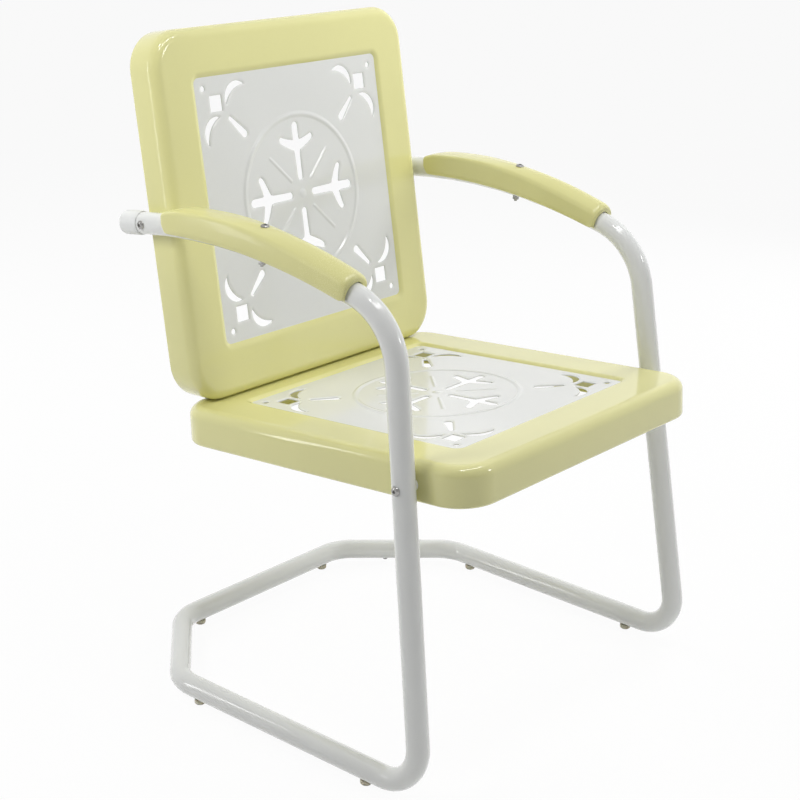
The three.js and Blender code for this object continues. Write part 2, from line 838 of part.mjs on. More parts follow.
function armrest(corners) {
  const stations = armrestStations();
  const rings = stations.map(({ from, section }) => {
    const place = armPlace(corners, from);
    const up = armUp(place.forward);
    const across = place.forward.clone().cross(up).normalize();
    return section.map(([x, z]) => along(along(place.point, across, x), up, z));
  });
  const size = rings[0].length;
  const positions = rings.flat().flatMap((point) => point.toArray());
  const index = [];
  for (let r = 0; r < rings.length - 1; r += 1) {
    for (let i = 0; i < size; i += 1) {
      const j = (i + 1) % size;
      const here = r * size;
      const next = here + size;
      index.push(here + i, here + j, next + j, here + i, next + j, next + i);
    }
  }
  const endOffset = (rings.length - 1) * size;
  for (const [station, offset, order] of [[stations[0], 0, 1], [stations.at(-1), endOffset, -1]]) {
    const outline = station.section.map(([x, z]) => new THREE.Vector2(x, z));
    for (const triangle of THREE.ShapeUtils.triangulateShape(outline, [])) {
      const face = order > 0 ? triangle.slice().reverse() : triangle;
      index.push(...face.map((corner) => corner + offset));
    }
  }
  const geometry = new THREE.BufferGeometry();
  geometry.setAttribute('position', new THREE.Float32BufferAttribute(positions, 3));
  geometry.setIndex(index);
  const screw = armPlace(corners, armrestScrewFromFront);
  const up = armUp(screw.forward);
  return cut(geometry, [rod(screw.point, up, screwBore, armrestEndHeight + armrestCrown + cutOverrun)]);
}

// Seat and back

// A spacer between a pan and the tube, with its outer end hollowed to sit on the tube.
function addSpacer(name, boltPoint, side, length, tubeDirection) {
  const inner = along(boltPoint, outward(side), -tubeRadius - length + seatingGap);
  const block = rod(inner, outward(side), spacerRadius, length - seatingGap + spacerSaddle);
  const saddleRadius = (tubeRadius + seatingGap) / Math.cos(Math.PI / saddleSides);
  const start = along(boltPoint, tubeDirection, -tubeDiameter);
  const saddle = rod(start, tubeDirection, saddleRadius, 2 * tubeDiameter, saddleSides);
  const bore = boreThrough(boltPoint, outward(side), boltBore, tubeDiameter);
  addMesh(name, cut(block, [saddle, bore]), finishes.plastic);
}

// A through bolt from outside the tube, with its washer and nut inside the pan.
function addSideBolt(prefix, boltPoint, side, spacerLength) {
  const name = `${sideName(side)}_${prefix}`;
  const head = along(boltPoint, outward(side), tubeRadius + seatingGap);
  const panInside = along(boltPoint, outward(side), -tubeRadius - spacerLength - sheet);
  const inwards = outward(-side);
  const washerFace = along(panInside, inwards, seatingGap);
  const nutFace = along(washerFace, inwards, washerThickness + seatingGap);
  const length = head.distanceTo(nutFace) + nutHeight + boltTail;
  addTurned(`${name}_bolt`, bolt(boltRadius, boltHeadRadius, boltHeadHeight, length), finishes.steel,
    head, outward(side));
  addTurned(`${name}_washer`, washer(washerRadius, boltBore, washerThickness), finishes.steel,
    washerFace, inwards);
  addTurned(`${name}_nut`, hexNut(nutAcrossFlats, boltBore, nutHeight), finishes.steel, nutFace, inwards);
}

const left = sideCorners(1);
const right = sideCorners(-1);
const sides = [[left, 1], [right, -1]];

const seat = new THREE.Group();
seat.position.copy(seatCentre);
seat.quaternion.copy(seatAxes);
const back = new THREE.Group();
back.position.copy(backCentre);
back.quaternion.copy(backAxes);
chair.add(seat, back);

// Cutters are made in the chair's axes and brought into the pan's.
function intoPan(geometry, group) {
  group.updateMatrixWorld(true);
  return geometry.applyMatrix4(group.matrixWorld.clone().invert());
}

const seatUp = upward.clone().applyQuaternion(seatAxes);

// The bolts that tie the back's lower flange to the seat's rear border stand square to the seat.
function tieBoltPlace(side) {
  const inFlange = vec(side * tieBoltHalfSpan, -backPanWidth / 2, -tieBoltBehindFace);
  const flange = placeIn(backAxes, backCentre, ...inFlange.toArray());
  const height = flange.clone().sub(seatCentre).dot(seatUp);
  return { flange, height, face: along(flange, seatUp, -height) };
}

const tieLean = Math.tan((recline - seatPitch) * degree);

function seatHoles() {
  return sides.flatMap(([corners, side]) => [
    boreThrough(corners.seatBolt, outward(side), boltBore, tubeDiameter),
    boreThrough(tieBoltPlace(side).face, seatUp, boltBore, panEdgeRadius),
  ]);
}

function backHoles() {
  return sides.flatMap(([corners, side]) => [
    boreThrough(corners.backBolt, outward(side), boltBore, tubeDiameter),
    boreThrough(tieBoltPlace(side).flange, seatUp, boltBore + seatingGap, panEdgeRadius),
  ]);
}

function addPan(name, group, width, holes) {
  const cutters = holes.map((hole) => intoPan(hole, group));
  addMesh(`${name}_pan`, cut(panShell(width), cutters), finishes.yellow, group);
  const panel = addMesh(`${name}_panel`, piercedPanel(), finishes.white, group);
  panel.position.z = -(stepDepth + sheet + seatingGap);
}

addPan('seat', seat, seatPanWidth, seatHoles());
addPan('back', back, backPanWidth, backHoles());

addMesh('rear_cross_tube', rearCrossTube(left, right), finishes.white);

for (const [corners, side] of sides) {
  const name = sideName(side);
  const tailward = towards(corners.arm, corners.armEnd);
  const legward = towards(corners.foot, corners.shoulder);

  addMesh(`${name}_arm_leg_tube`, armLegTube(corners, side), finishes.white);
  addMesh(`${name}_runner_tube`, runnerTube(corners, side), finishes.white);

  // End cap, slipped over the tail of the arm
  const capBore = tubeRadius + seatingGap;
  const capOuter = capBore + capWall;
  const capRoof = capLength - capEnd;
  const dome = arcPoints([capOuter - capRound, capLength - capRound], capRound, 0, 90, 3);
  const capProfile = [[0, capRoof], [capBore, capRoof], [capBore, 0], [capOuter, 0]]
    .concat(dome, [[0, capLength]]);
  addTurned(`${name}_arm_end_cap`, turned(capProfile, capSides), finishes.plastic,
    along(corners.armEnd, tailward, seatingGap - capRoof), tailward);

  // Armrest with its screw from above and a nut below the tube
  addMesh(`${name}_armrest`, armrest(corners), finishes.yellow);
  const screw = armPlace(corners, armrestScrewFromFront);
  const up = armUp(screw.forward);
  const crown = armrestCrown * Math.sin((Math.PI * armrestScrewFromFront) / armrestLength);
  const head = along(screw.point, up, armrestEndHeight + crown + seatingGap);
  const nutFace = along(screw.point, up, -tubeRadius - seatingGap);
  const screwLength = head.distanceTo(nutFace) + screwNutHeight + boltTail;
  addTurned(`${name}_armrest_screw`, bolt(screwRadius, screwHeadRadius, screwHeadHeight, screwLength),
    finishes.steel, head, up);
  addTurned(`${name}_armrest_nut`, hexNut(screwNutAcrossFlats, screwBore, screwNutHeight),
    finishes.steel, nutFace, up.clone().negate());

  // Bolts and spacers that carry the pans between the tubes
  addSpacer(`${name}_seat_spacer`, corners.seatBolt, side, seatSpacerLength, legward);
  addSpacer(`${name}_back_spacer`, corners.backBolt, side, backSpacerLength, tailward);
  addSideBolt('seat', corners.seatBolt, side, seatSpacerLength);
  addSideBolt('back', corners.backBolt, side, backSpacerLength);

  // Tie bolt between back and seat, with its spacer between the pans and its nut under the seat
  const tie = tieBoltPlace(side);
  const headLift = sheet * Math.hypot(1, tieLean) + boltHeadRadius * tieLean + seatingGap;
  const tieHead = along(tie.flange, seatUp, headLift);
  const tieNut = along(tie.face, seatUp, -sheet - seatingGap);
  const tieLength = tieHead.distanceTo(tieNut) + nutHeight + boltTail;
  addTurned(`${name}_tie_bolt`, bolt(boltRadius, boltHeadRadius, boltHeadHeight, tieLength),
    finishes.steel, tieHead, seatUp);
  addTurned(`${name}_tie_nut`, hexNut(nutAcrossFlats, boltBore, nutHeight), finishes.steel,
    tieNut, seatUp.clone().negate());
  const tieSpacerHeight = tie.height - tieSpacerRadius * tieLean - 2 * seatingGap;
  addTurned(`${name}_tie_spacer`, washer(tieSpacerRadius, boltBore, tieSpacerHeight), finishes.plastic,
    along(tie.face, seatUp, seatingGap), seatUp);

  // Glides under the runner and the cross tube
  const glides = glidePlaces(corners, side);
  for (const [where, place] of Object.entries(glides)) {
    const neck = glideHeight - seatingGap;
    const profile = [
      [0, 0],
      [glideRadius - glideChamfer, 0],
      [glideRadius, glideChamfer],
      [glideRadius, neck],
      [glideStemRadius, neck],
      [glideStemRadius, neck + glideStemLength],
      [0, neck + glideStemLength],
    ];
    addTurned(`${name}_${where}_glide`, turned(profile), finishes.glide, vec(place.x, place.y, 0), upward);
  }

  // Screw from below through the swaged joint
  const jointScrew = jointScrewPlace(corners);
  addTurned(
    `${name}_joint_screw`,
    bolt(jointScrewRadius, jointScrewHeadRadius, jointScrewHeadHeight, jointScrewLength),
    finishes.steel,
    vec(jointScrew.x, jointScrew.y, jointScrew.z - tubeRadius - seatingGap),
    vec(0, 0, -1),
  );
}

// The origin is under the middle of the chair, on the floor.
const bounds = new THREE.Box3().setFromObject(chair, true);
chair.position.y = -(bounds.min.y + bounds.max.y) / 2;

export default chair;
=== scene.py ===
# %% [markdown]
# # A retro metal lawn chair
#
# The chair is a cantilever. Two bent steel tubes carry a stamped seat and a stamped back, and
# they spring a little under the sitter. This notebook dresses the chair's plain CAD model. Each
# piece is modelled again with the soft edges of real sheet metal, tube and moulded plastic, and
# gets a finish of its own. All lengths are metres, +Z is up and the sitter faces -Y.

import math

import bmesh
import bpy
from mathutils import Matrix, Vector


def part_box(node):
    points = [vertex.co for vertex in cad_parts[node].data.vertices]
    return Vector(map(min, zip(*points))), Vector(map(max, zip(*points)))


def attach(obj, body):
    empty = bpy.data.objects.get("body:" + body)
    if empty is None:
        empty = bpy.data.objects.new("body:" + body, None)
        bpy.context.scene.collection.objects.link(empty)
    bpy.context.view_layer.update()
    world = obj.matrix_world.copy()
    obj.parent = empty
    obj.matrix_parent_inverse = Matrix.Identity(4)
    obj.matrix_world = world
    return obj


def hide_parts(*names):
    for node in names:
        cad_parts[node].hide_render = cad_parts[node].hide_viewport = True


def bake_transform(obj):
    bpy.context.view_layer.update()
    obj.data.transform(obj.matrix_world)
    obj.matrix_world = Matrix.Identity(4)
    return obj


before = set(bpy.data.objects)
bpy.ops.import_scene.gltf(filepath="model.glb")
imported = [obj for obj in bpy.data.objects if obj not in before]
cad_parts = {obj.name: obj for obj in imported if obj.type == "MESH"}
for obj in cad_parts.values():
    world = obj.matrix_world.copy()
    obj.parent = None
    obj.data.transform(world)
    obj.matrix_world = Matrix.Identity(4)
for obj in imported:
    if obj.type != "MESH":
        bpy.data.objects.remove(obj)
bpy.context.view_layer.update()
MM = 0.001
MERGE = 0.01 * MM

# %% [markdown]
# ## Where things are
#
# The side frame is a leg that leans back, a shoulder bend and a long flat bend for the arm. The
# same values as in the CAD give its corners here, so every new piece lands on its CAD solid. The
# seat and the back each get a matrix that carries a pan, modelled lying face up, to its place.

# %% The side view of the frame
GLIDE_HEIGHT = 7 * MM
TUBE_RADIUS = 14.3 * MM
RUNNER_HEIGHT = GLIDE_HEIGHT + TUBE_RADIUS
LEG_LEAN = math.radians(8.5)
FLOOR_BEND = 50 * MM
SHOULDER_BEND = 92 * MM
SHOULDER_STRAIGHT = 6 * MM
ARM_BEND = 883.5 * MM
ARM_REAR_SLOPE = math.radians(-7)
ARM_TAIL = 40 * MM
SEAT_WIDTH = 487 * MM
BACK_WIDTH = 476 * MM
PAN_DEPTH = 49.5 * MM
SEAT_BOLT_HEIGHT = 387 * MM
SEAT_BOLT_IN_PAN = Vector((0, 81.4 * MM - SEAT_WIDTH / 2, -27.3 * MM))
BACK_FOOT_IN_SEAT = Vector((0, SEAT_WIDTH / 2 + 5.8 * MM, 1 * MM))
BACK_FOOT_IN_PAN = Vector((0, -BACK_WIDTH / 2, -PAN_DEPTH))
BACK_BOLT_IN_PAN = Vector((0, 1.7 * MM, 21.5 * MM - PAN_DEPTH))
FOOT_Y = -262.69 * MM

leg_up = Vector((0, math.sin(LEG_LEAN), math.cos(LEG_LEAN)))
foot = Vector((0, FOOT_Y, RUNNER_HEIGHT))
seat_bolt = foot + leg_up * ((SEAT_BOLT_HEIGHT - RUNNER_HEIGHT) / leg_up.z)
seat_turn = Matrix.Rotation(math.radians(-4.5), 4, "X")
back_turn = Matrix.Rotation(math.radians(80.1), 4, "X")
seat_centre = seat_bolt - seat_turn @ SEAT_BOLT_IN_PAN
back_centre = seat_centre + seat_turn @ BACK_FOOT_IN_SEAT - back_turn @ BACK_FOOT_IN_PAN
seat_place = Matrix.Translation(seat_centre) @ seat_turn
back_place = Matrix.Translation(back_centre) @ back_turn
back_bolt = back_place @ BACK_BOLT_IN_PAN
print("seat centre", seat_centre, "back bolt", back_bolt)

# %% The shoulder and the arm
def clockwise(direction):
    """A quarter turn clockwise in the side view, with the rear on the right."""
    return direction.cross(Vector((1, 0, 0)))


arm_down = Vector((0, math.cos(ARM_REAR_SLOPE), math.sin(ARM_REAR_SLOPE)))
arm_centre = back_bolt + clockwise(arm_down) * ARM_BEND
shoulder_base = foot + clockwise(leg_up) * SHOULDER_BEND
radius_step = ARM_BEND - SHOULDER_BEND
centre_gap = math.hypot(radius_step, SHOULDER_STRAIGHT)
offset = shoulder_base - arm_centre
nearest = -offset.dot(leg_up)
rise = nearest + math.sqrt(nearest ** 2 - offset.length_squared + centre_gap ** 2)
spoke = (shoulder_base + leg_up * rise - arm_centre).normalized()
front_turn = Matrix.Rotation(-math.atan2(SHOULDER_STRAIGHT, radius_step), 3, "X")
arm_back = clockwise(front_turn @ spoke)
shoulder = foot + leg_up * (rise + SHOULDER_BEND * math.tan(leg_up.angle(arm_back) / 2))
arm_corner = back_bolt - arm_down * ARM_BEND * math.tan(arm_back.angle(arm_down) / 2)
arm_end = back_bolt + arm_down * ARM_TAIL
print("shoulder", shoulder, "arm corner", arm_corner)

# %% The frame's corners in space
FOOT_SPAN = 281.4 * MM
RUNNER_SPAN = 286.7 * MM
RUNNER_LENGTH = 409.6 * MM
CROSS_SPAN = 162.4 * MM
CROSS_SETBACK = 129.8 * MM
REAR_BEND = 60 * MM
JOINT_FROM_CROSS = 54 * MM
SEAT_BOLT_SPAN = SEAT_WIDTH / 2 + 2.6 * MM + TUBE_RADIUS
BACK_BOLT_SPAN = BACK_WIDTH / 2 + 3.5 * MM + TUBE_RADIUS


def share_of(value, low, high):
    """How far a value lies between two others, as a share."""
    return (value - low) / (high - low)


def mix(low, high, share):
    """The value at a share of the way between two others."""
    return low + (high - low) * share


def leg_span(point):
    """How far a point of the leg stands out from the middle plane."""
    return mix(FOOT_SPAN, SEAT_BOLT_SPAN, share_of(point.z, foot.z, seat_bolt.z))


def arm_span(point):
    """How far a point of the arm stands out from the middle plane."""
    return mix(leg_span(shoulder), BACK_BOLT_SPAN, share_of(point.y, shoulder.y, back_bolt.y))


def side_corners(side):
    """The corners of one side of the frame. Side is 1 on the sitter's left and -1 on the right."""
    spans = {
        "arm_end": (arm_end, arm_span(arm_end)),
        "arm": (arm_corner, arm_span(arm_corner)),
        "shoulder": (shoulder, leg_span(shoulder)),
        "foot": (foot, FOOT_SPAN),
        "runner_rear": (foot + Vector((0, RUNNER_LENGTH, 0)), RUNNER_SPAN),
        "cross": (foot + Vector((0, RUNNER_LENGTH + CROSS_SETBACK, 0)), CROSS_SPAN),
        "seat_bolt": (seat_bolt, SEAT_BOLT_SPAN),
        "back_bolt": (back_bolt, BACK_BOLT_SPAN),
    }
    return {name: Vector((side * span, at.y, at.z)) for name, (at, span) in spans.items()}


def towards(start, end):
    """The direction from one point to another, of length 1."""
    return (end - start).normalized()


SIDES = {"left": 1, "right": -1}
corners = {name: side_corners(side) for name, side in SIDES.items()}
for at in corners.values():
    at["joint"] = at["cross"] + towards(at["cross"], at["runner_rear"]) * JOINT_FROM_CROSS
print("left corners", {name: tuple(round(v, 4) for v in at) for name, at in corners["left"].items()})

# %% [markdown]
# ## Camera, light and floor
#
# The chair is seen from its front right corner and a little from above, with a fairly long lens.
# Most light comes from big soft panels on all sides, the fills, and a little from the world.
# Gloss doesn't show the fills. It shows the world, a white room that is darker at the camera's
# end as studios are, and that shapes the glossy tubes. Small lamps and strips, which gloss does
# show, put the short highlights on the pressed edges. The floor looks white to the camera, but
# part of its own shaded colour shows too, so the chair keeps a soft shadow under it.

# %% Camera
CAMERA_TARGET = Vector((-404.62 * MM, -271.44 * MM, 626.72 * MM))
CAMERA_AZIMUTH = math.radians(-48.75)
CAMERA_ELEVATION = math.radians(16.94)
CAMERA_ROLL = math.radians(0.977)
CAMERA_DISTANCE = 1754.54 * MM
SENSOR = 36
FRAME_PIXELS = 800
FOCAL_PIXELS = 1721.8
FRAME_SHIFT = (0.04375, -0.09375)

outward = Vector((
    math.sin(CAMERA_AZIMUTH) * math.cos(CAMERA_ELEVATION),
    -math.cos(CAMERA_AZIMUTH) * math.cos(CAMERA_ELEVATION),
    math.sin(CAMERA_ELEVATION),
))
camera_data = bpy.data.cameras.new("camera")
camera_data.sensor_width = SENSOR
camera_data.lens = FOCAL_PIXELS / FRAME_PIXELS * SENSOR
camera_data.shift_x, camera_data.shift_y = FRAME_SHIFT
camera = bpy.data.objects.new("camera", camera_data)
bpy.context.scene.collection.objects.link(camera)
look = (-outward).to_track_quat("-Z", "Y").to_matrix().to_4x4()
roll = Matrix.Rotation(CAMERA_ROLL, 4, "Z")
camera.matrix_world = Matrix.Translation(CAMERA_TARGET + outward * CAMERA_DISTANCE) @ look @ roll
bpy.context.scene.camera = camera
print("camera at", camera.matrix_world.translation)

# %% Node helpers
def new_material(name):
    """An empty node material, with its tree and its output node."""
    material = bpy.data.materials.new(name)
    material.use_nodes = True
    tree = material.node_tree
    tree.nodes.clear()
    output = tree.nodes.new("ShaderNodeOutputMaterial")
    return material, tree, output


def add_node(tree, kind, settings=None, **values):
    """Adds a node, then sets its own settings and its sockets, and links a socket given as value."""
    node = tree.nodes.new(kind)
    for name, value in (settings or {}).items():
        setattr(node, name, value)
    for name, value in values.items():
        key = name.replace("_", " ")
        slot = node.inputs[int(key[5:])] if key.startswith("input") else node.inputs[key]
        if isinstance(value, bpy.types.NodeSocket):
            tree.links.new(value, slot)
        else:
            slot.default_value = value
    return node


# %% World and light panels
def seen_directly(tree):
    """1 for rays from the camera, from reflections and through glass, 0 for light on surfaces."""
    path = add_node(tree, "ShaderNodeLightPath")
    either = add_node(tree, "ShaderNodeMath", {"operation": "MAXIMUM"},
                      input0=path.outputs["Is Camera Ray"], input1=path.outputs["Is Glossy Ray"])
    return add_node(tree, "ShaderNodeMath", {"operation": "MAXIMUM"},
                    input0=either.outputs[0], input1=path.outputs["Is Transmission Ray"]).outputs[0]


WORLD_STRENGTH = 0.11
LIGHT_WALL = (0.96, 0.96, 0.96, 1)
DARK_WALL = (0.1, 0.1, 0.1, 1)
DARK_END = (-0.66, -0.72, 0.2)
DARK_FROM, DARK_TO = 0.15, 0.9
MOST_DARKNESS = 0.5
world = bpy.data.worlds.new("white_room")
bpy.context.scene.world = world
world.use_nodes = True
room = world.node_tree
room.nodes.clear()
strength = add_node(room, "ShaderNodeMapRange", Value=seen_directly(room), To_Min=WORLD_STRENGTH)
heading = add_node(room, "ShaderNodeTexCoord")
towards_dark = add_node(room, "ShaderNodeVectorMath", {"operation": "DOT_PRODUCT"},
                        input0=heading.outputs["Generated"], input1=DARK_END)
darkness = add_node(room, "ShaderNodeMapRange", Value=towards_dark.outputs["Value"],
                    From_Min=DARK_FROM, From_Max=DARK_TO, To_Max=MOST_DARKNESS)
room_path = add_node(room, "ShaderNodeLightPath")
seen_by_others = add_node(room, "ShaderNodeMath", {"operation": "SUBTRACT"},
                          input0=1.0, input1=room_path.outputs["Is Camera Ray"])
dark_share = add_node(room, "ShaderNodeMath", {"operation": "MULTIPLY"},
                      input0=darkness.outputs[0], input1=seen_by_others.outputs[0])
wall_color = add_node(room, "ShaderNodeMixRGB", input0=dark_share.outputs[0],
                      input1=LIGHT_WALL, input2=DARK_WALL)
background = add_node(room, "ShaderNodeBackground", Color=wall_color.outputs[0],
                      Strength=strength.outputs["Result"])
world_output = room.nodes.new("ShaderNodeOutputWorld")
room.links.new(background.outputs[0], world_output.inputs["Surface"])


def light_panel(name, place, aim, size, power, mirrored):
    """A soft box that hangs at a place and faces another. Gloss shows it only when mirrored."""
    data = bpy.data.lights.new(name, "AREA")
    data.shape = "RECTANGLE"
    data.size, data.size_y = size
    data.energy = power
    lamp = bpy.data.objects.new(name, data)
    lamp.location = place
    lamp.rotation_euler = (Vector(aim) - Vector(place)).to_track_quat("-Z", "Y").to_euler()
    lamp.visible_glossy = mirrored
    bpy.context.scene.collection.objects.link(lamp)


MIDDLE = (0, 0, 0.5)
FILLS = (
    ("front_fill", (0, -2.25, 1.27), MIDDLE, (1.2, 1.2), 9),
    ("rear_fill", (0, 2.2, 1.6), MIDDLE, (1.2, 1.2), 24),
    ("left_fill", (2.3, 0, 1.25), MIDDLE, (1.6, 1.6), 27),
    ("right_fill", (-1.15, 0.4, 1.15), MIDDLE, (0.5, 0.5), 6.8),
    ("top_fill", (0.42, -0.45, 1.75), (0, 0.1, 0.5), (0.8, 0.8), 3.4),
    ("arm_fill", (0.85, -0.1, 1.45), (0.28, 0, 0.6), (0.4, 0.4), 2.6),
)
LAMPS = tuple(
    (f"ceiling_lamp_{number}", (x, -0.45, 1.75), (x, 0, 0.5), (0.18, 0.18), 1.1)
    for number, x in enumerate((-0.45, -0.15, 0.15, 0.45))
)
SPARKS = (
    ("overhead_spark", (-0.53, -0.32, 2.3), (-0.2, 0.1, 0.6), (0.12, 0.12), 2),
    ("front_spark", (1.12, -1.94, 1.6), (0, 0.2, 0.66), (0.3, 0.3), 4),
    ("rear_strip", (-1.6, 1.3, 0.75), (-0.2, 0.2, 0.7), (0.12, 1.1), 2.4),
    ("arm_strip", (-0.8, 1.16, 2), (-0.25, -0.1, 0.6), (0.3, 0.05), 0.15),
)
for panel in FILLS:
    light_panel(*panel, mirrored=False)
for panel in LAMPS + SPARKS:
    light_panel(*panel, mirrored=True)
bpy.context.scene.view_settings.view_transform = "Standard"
print(len(FILLS), "fills and", len(LAMPS + SPARKS), "small lamps")

# %% Floor
FLOOR_GLOW = 0.94
FLOOR_REACH = 30
floor_shape = bmesh.new()
bmesh.ops.create_grid(floor_shape, x_segments=1, y_segments=1, size=FLOOR_REACH)
floor_mesh = bpy.data.meshes.new("floor")
floor_shape.to_mesh(floor_mesh)
floor_shape.free()
floor = bpy.data.objects.new("floor", floor_mesh)
bpy.context.scene.collection.objects.link(floor)
floor_paper, tree, output = new_material("floor_paper")
paper = add_node(tree, "ShaderNodeBsdfPrincipled", Base_Color=(0.9, 0.9, 0.9, 1), Roughness=0.9)
paper.inputs["Specular IOR Level"].default_value = 0.1
glow = add_node(tree, "ShaderNodeEmission", Color=(1, 1, 1, 1), Strength=1.0)
glow_share = add_node(tree, "ShaderNodeMath", {"operation": "MULTIPLY"},
                      input0=seen_directly(tree), input1=FLOOR_GLOW)
blend_node = add_node(tree, "ShaderNodeMixShader", input0=glow_share.outputs[0],
                      input1=paper.outputs[0], input2=glow.outputs[0])
tree.links.new(blend_node.outputs[0], output.inputs["Surface"])
floor_mesh.materials.append(floor_paper)
print("floor size", floor.dimensions)

# %% [markdown]
# ## Paint
#
# Tubes, pans and panels are powder coated, and a powder coat isn't a perfect mirror: it melts
# into a skin of tiny rounded hills that painters call orange peel. One node group makes that
# skin. It puts out a colour that drifts a little from place to place, a roughness that does the
# same, and a normal bent by the peel. Each paint places the group with its own values. The
# moulded plastic of the armrests, caps and spacers has a skin much like it, so it uses the
# group too.

# %% The powder coat group
powder = bpy.data.node_groups.new("powder_coat", "ShaderNodeTree")
for name, kind, value in (
    ("Color", "Color", (0.8, 0.8, 0.8, 1)), ("Drift", "Float", 0.04), ("Peel Size", "Float", 0.0022),
    ("Peel Height", "Float", 0.12), ("Roughness", "Float", 0.28),
):
    socket = powder.interface.new_socket(name=name, in_out="INPUT", socket_type=f"NodeSocket{kind}")
    socket.default_value = value
for name, kind in (("Color", "Color"), ("Roughness", "Float"), ("Normal", "Vector")):
    powder.interface.new_socket(name=name, in_out="OUTPUT", socket_type=f"NodeSocket{kind}")
taken = powder.nodes.new("NodeGroupInput")
given = powder.nodes.new("NodeGroupOutput")
spots = add_node(powder, "ShaderNodeTexCoord")
clouds = add_node(powder, "ShaderNodeTexNoise", Vector=spots.outputs["Object"], Scale=5, Detail=3)
specks = add_node(powder, "ShaderNodeTexNoise", Vector=spots.outputs["Object"], Scale=900, Detail=1)
cloud_range = add_node(powder, "ShaderNodeMapRange", Value=clouds.outputs["Fac"],
                       From_Min=0.3, From_Max=0.7, To_Min=-0.5, To_Max=0.5)
speck_range = add_node(powder, "ShaderNodeMapRange", Value=specks.outputs["Fac"],
                       From_Min=0.3, From_Max=0.7, To_Min=-0.25, To_Max=0.25)
summed = add_node(powder, "ShaderNodeMath", {"operation": "ADD"},
                  input0=cloud_range.outputs[0], input1=speck_range.outputs[0])
drift = add_node(powder, "ShaderNodeMath", {"operation": "MULTIPLY_ADD"},
                 input0=summed.outputs[0], input1=taken.outputs["Drift"], input2=1.0)
tinted = add_node(powder, "ShaderNodeHueSaturation", Color=taken.outputs["Color"],
                  Value=drift.outputs[0])
powder.links.new(tinted.outputs[0], given.inputs["Color"])
rough = add_node(powder, "ShaderNodeMath", {"operation": "MULTIPLY_ADD"},
                 input0=summed.outputs[0], input1=0.06, input2=taken.outputs["Roughness"])
powder.links.new(rough.outputs[0], given.inputs["Roughness"])
peel_scale = add_node(powder, "ShaderNodeMath", {"operation": "DIVIDE"},
                      input0=1.0, input1=taken.outputs["Peel Size"])
peel = add_node(powder, "ShaderNodeTexNoise", Vector=spots.outputs["Object"],
                Scale=peel_scale.outputs[0], Detail=1.5, Roughness=0.4)
peel_bump = add_node(powder, "ShaderNodeBump", Strength=taken.outputs["Peel Height"],
                     Distance=0.0004, Height=peel.outputs["Fac"])
powder.links.new(peel_bump.outputs[0], given.inputs["Normal"])
print("powder coat group has", len(powder.nodes), "nodes")

# %% The paints
def paint(name, color, drift, peel_size, peel_height, roughness, coat):
    """A glossy skin in one colour, for coated metal or moulded plastic."""
    material, tree, output = new_material(name)
    skin = add_node(tree, "ShaderNodeGroup", {"node_tree": powder}, Color=color, Drift=drift,
                    Peel_Size=peel_size, Peel_Height=peel_height, Roughness=roughness)
    shader = add_node(tree, "ShaderNodeBsdfPrincipled", Base_Color=skin.outputs["Color"],
                      Roughness=skin.outputs["Roughness"], Normal=skin.outputs["Normal"])
    shader.inputs["Coat Weight"].default_value = coat
    shader.inputs["Coat Roughness"].default_value = 0.03
    shader.inputs["IOR"].default_value = 1.5
    tree.links.new(shader.outputs[0], output.inputs["Surface"])
    return material


YELLOW = (0.76, 0.735, 0.33, 1)
WHITE = (0.75, 0.76, 0.745, 1)
yellow_paint = paint("gloss_yellow", YELLOW, 0.03, 0.0024, 0.06, 0.14, 0.5)
white_paint = paint("gloss_white", WHITE, 0.03, 0.0024, 0.06, 0.14, 0.5)
armrest_plastic = paint("moulded_yellow", (0.70, 0.675, 0.30, 1), 0.03, 0.0016, 0.12, 0.24, 0.2)
white_plastic = paint("moulded_white", (0.78, 0.79, 0.78, 1), 0.02, 0.0012, 0.08, 0.4, 0.0)
print("paints", yellow_paint.name, white_paint.name)

# %% [markdown]
# ## Bright zinc and glide plastic
#
# The screws and nuts are zinc plated: a bright but slightly cloudy metal, finely scratched by
# its tumbling bath. The glides are natural plastic, cream coloured, and light soaks a little way
# into them, so they get some subsurface scattering.

# %% Zinc
zinc_steel, tree, output = new_material("bright_zinc")
spots = add_node(tree, "ShaderNodeTexCoord")
scratches = add_node(tree, "ShaderNodeTexNoise", Vector=spots.outputs["Object"], Scale=1400, Detail=4)
haze = add_node(tree, "ShaderNodeMapRange", Value=scratches.outputs["Fac"], To_Min=0.16, To_Max=0.38)
zinc_tint = add_node(tree, "ShaderNodeMixRGB", input0=scratches.outputs["Fac"],
                     input1=(0.28, 0.275, 0.27, 1), input2=(0.46, 0.455, 0.44, 1))
scratch_bump = add_node(tree, "ShaderNodeBump", Strength=0.15, Distance=0.0002,
                        Height=scratches.outputs["Fac"])
metal = add_node(tree, "ShaderNodeBsdfPrincipled", Base_Color=zinc_tint.outputs[0],
                 Roughness=haze.outputs[0], Normal=scratch_bump.outputs[0])
metal.inputs["Metallic"].default_value = 1.0
tree.links.new(metal.outputs[0], output.inputs["Surface"])
print("zinc has", len(tree.nodes), "nodes")

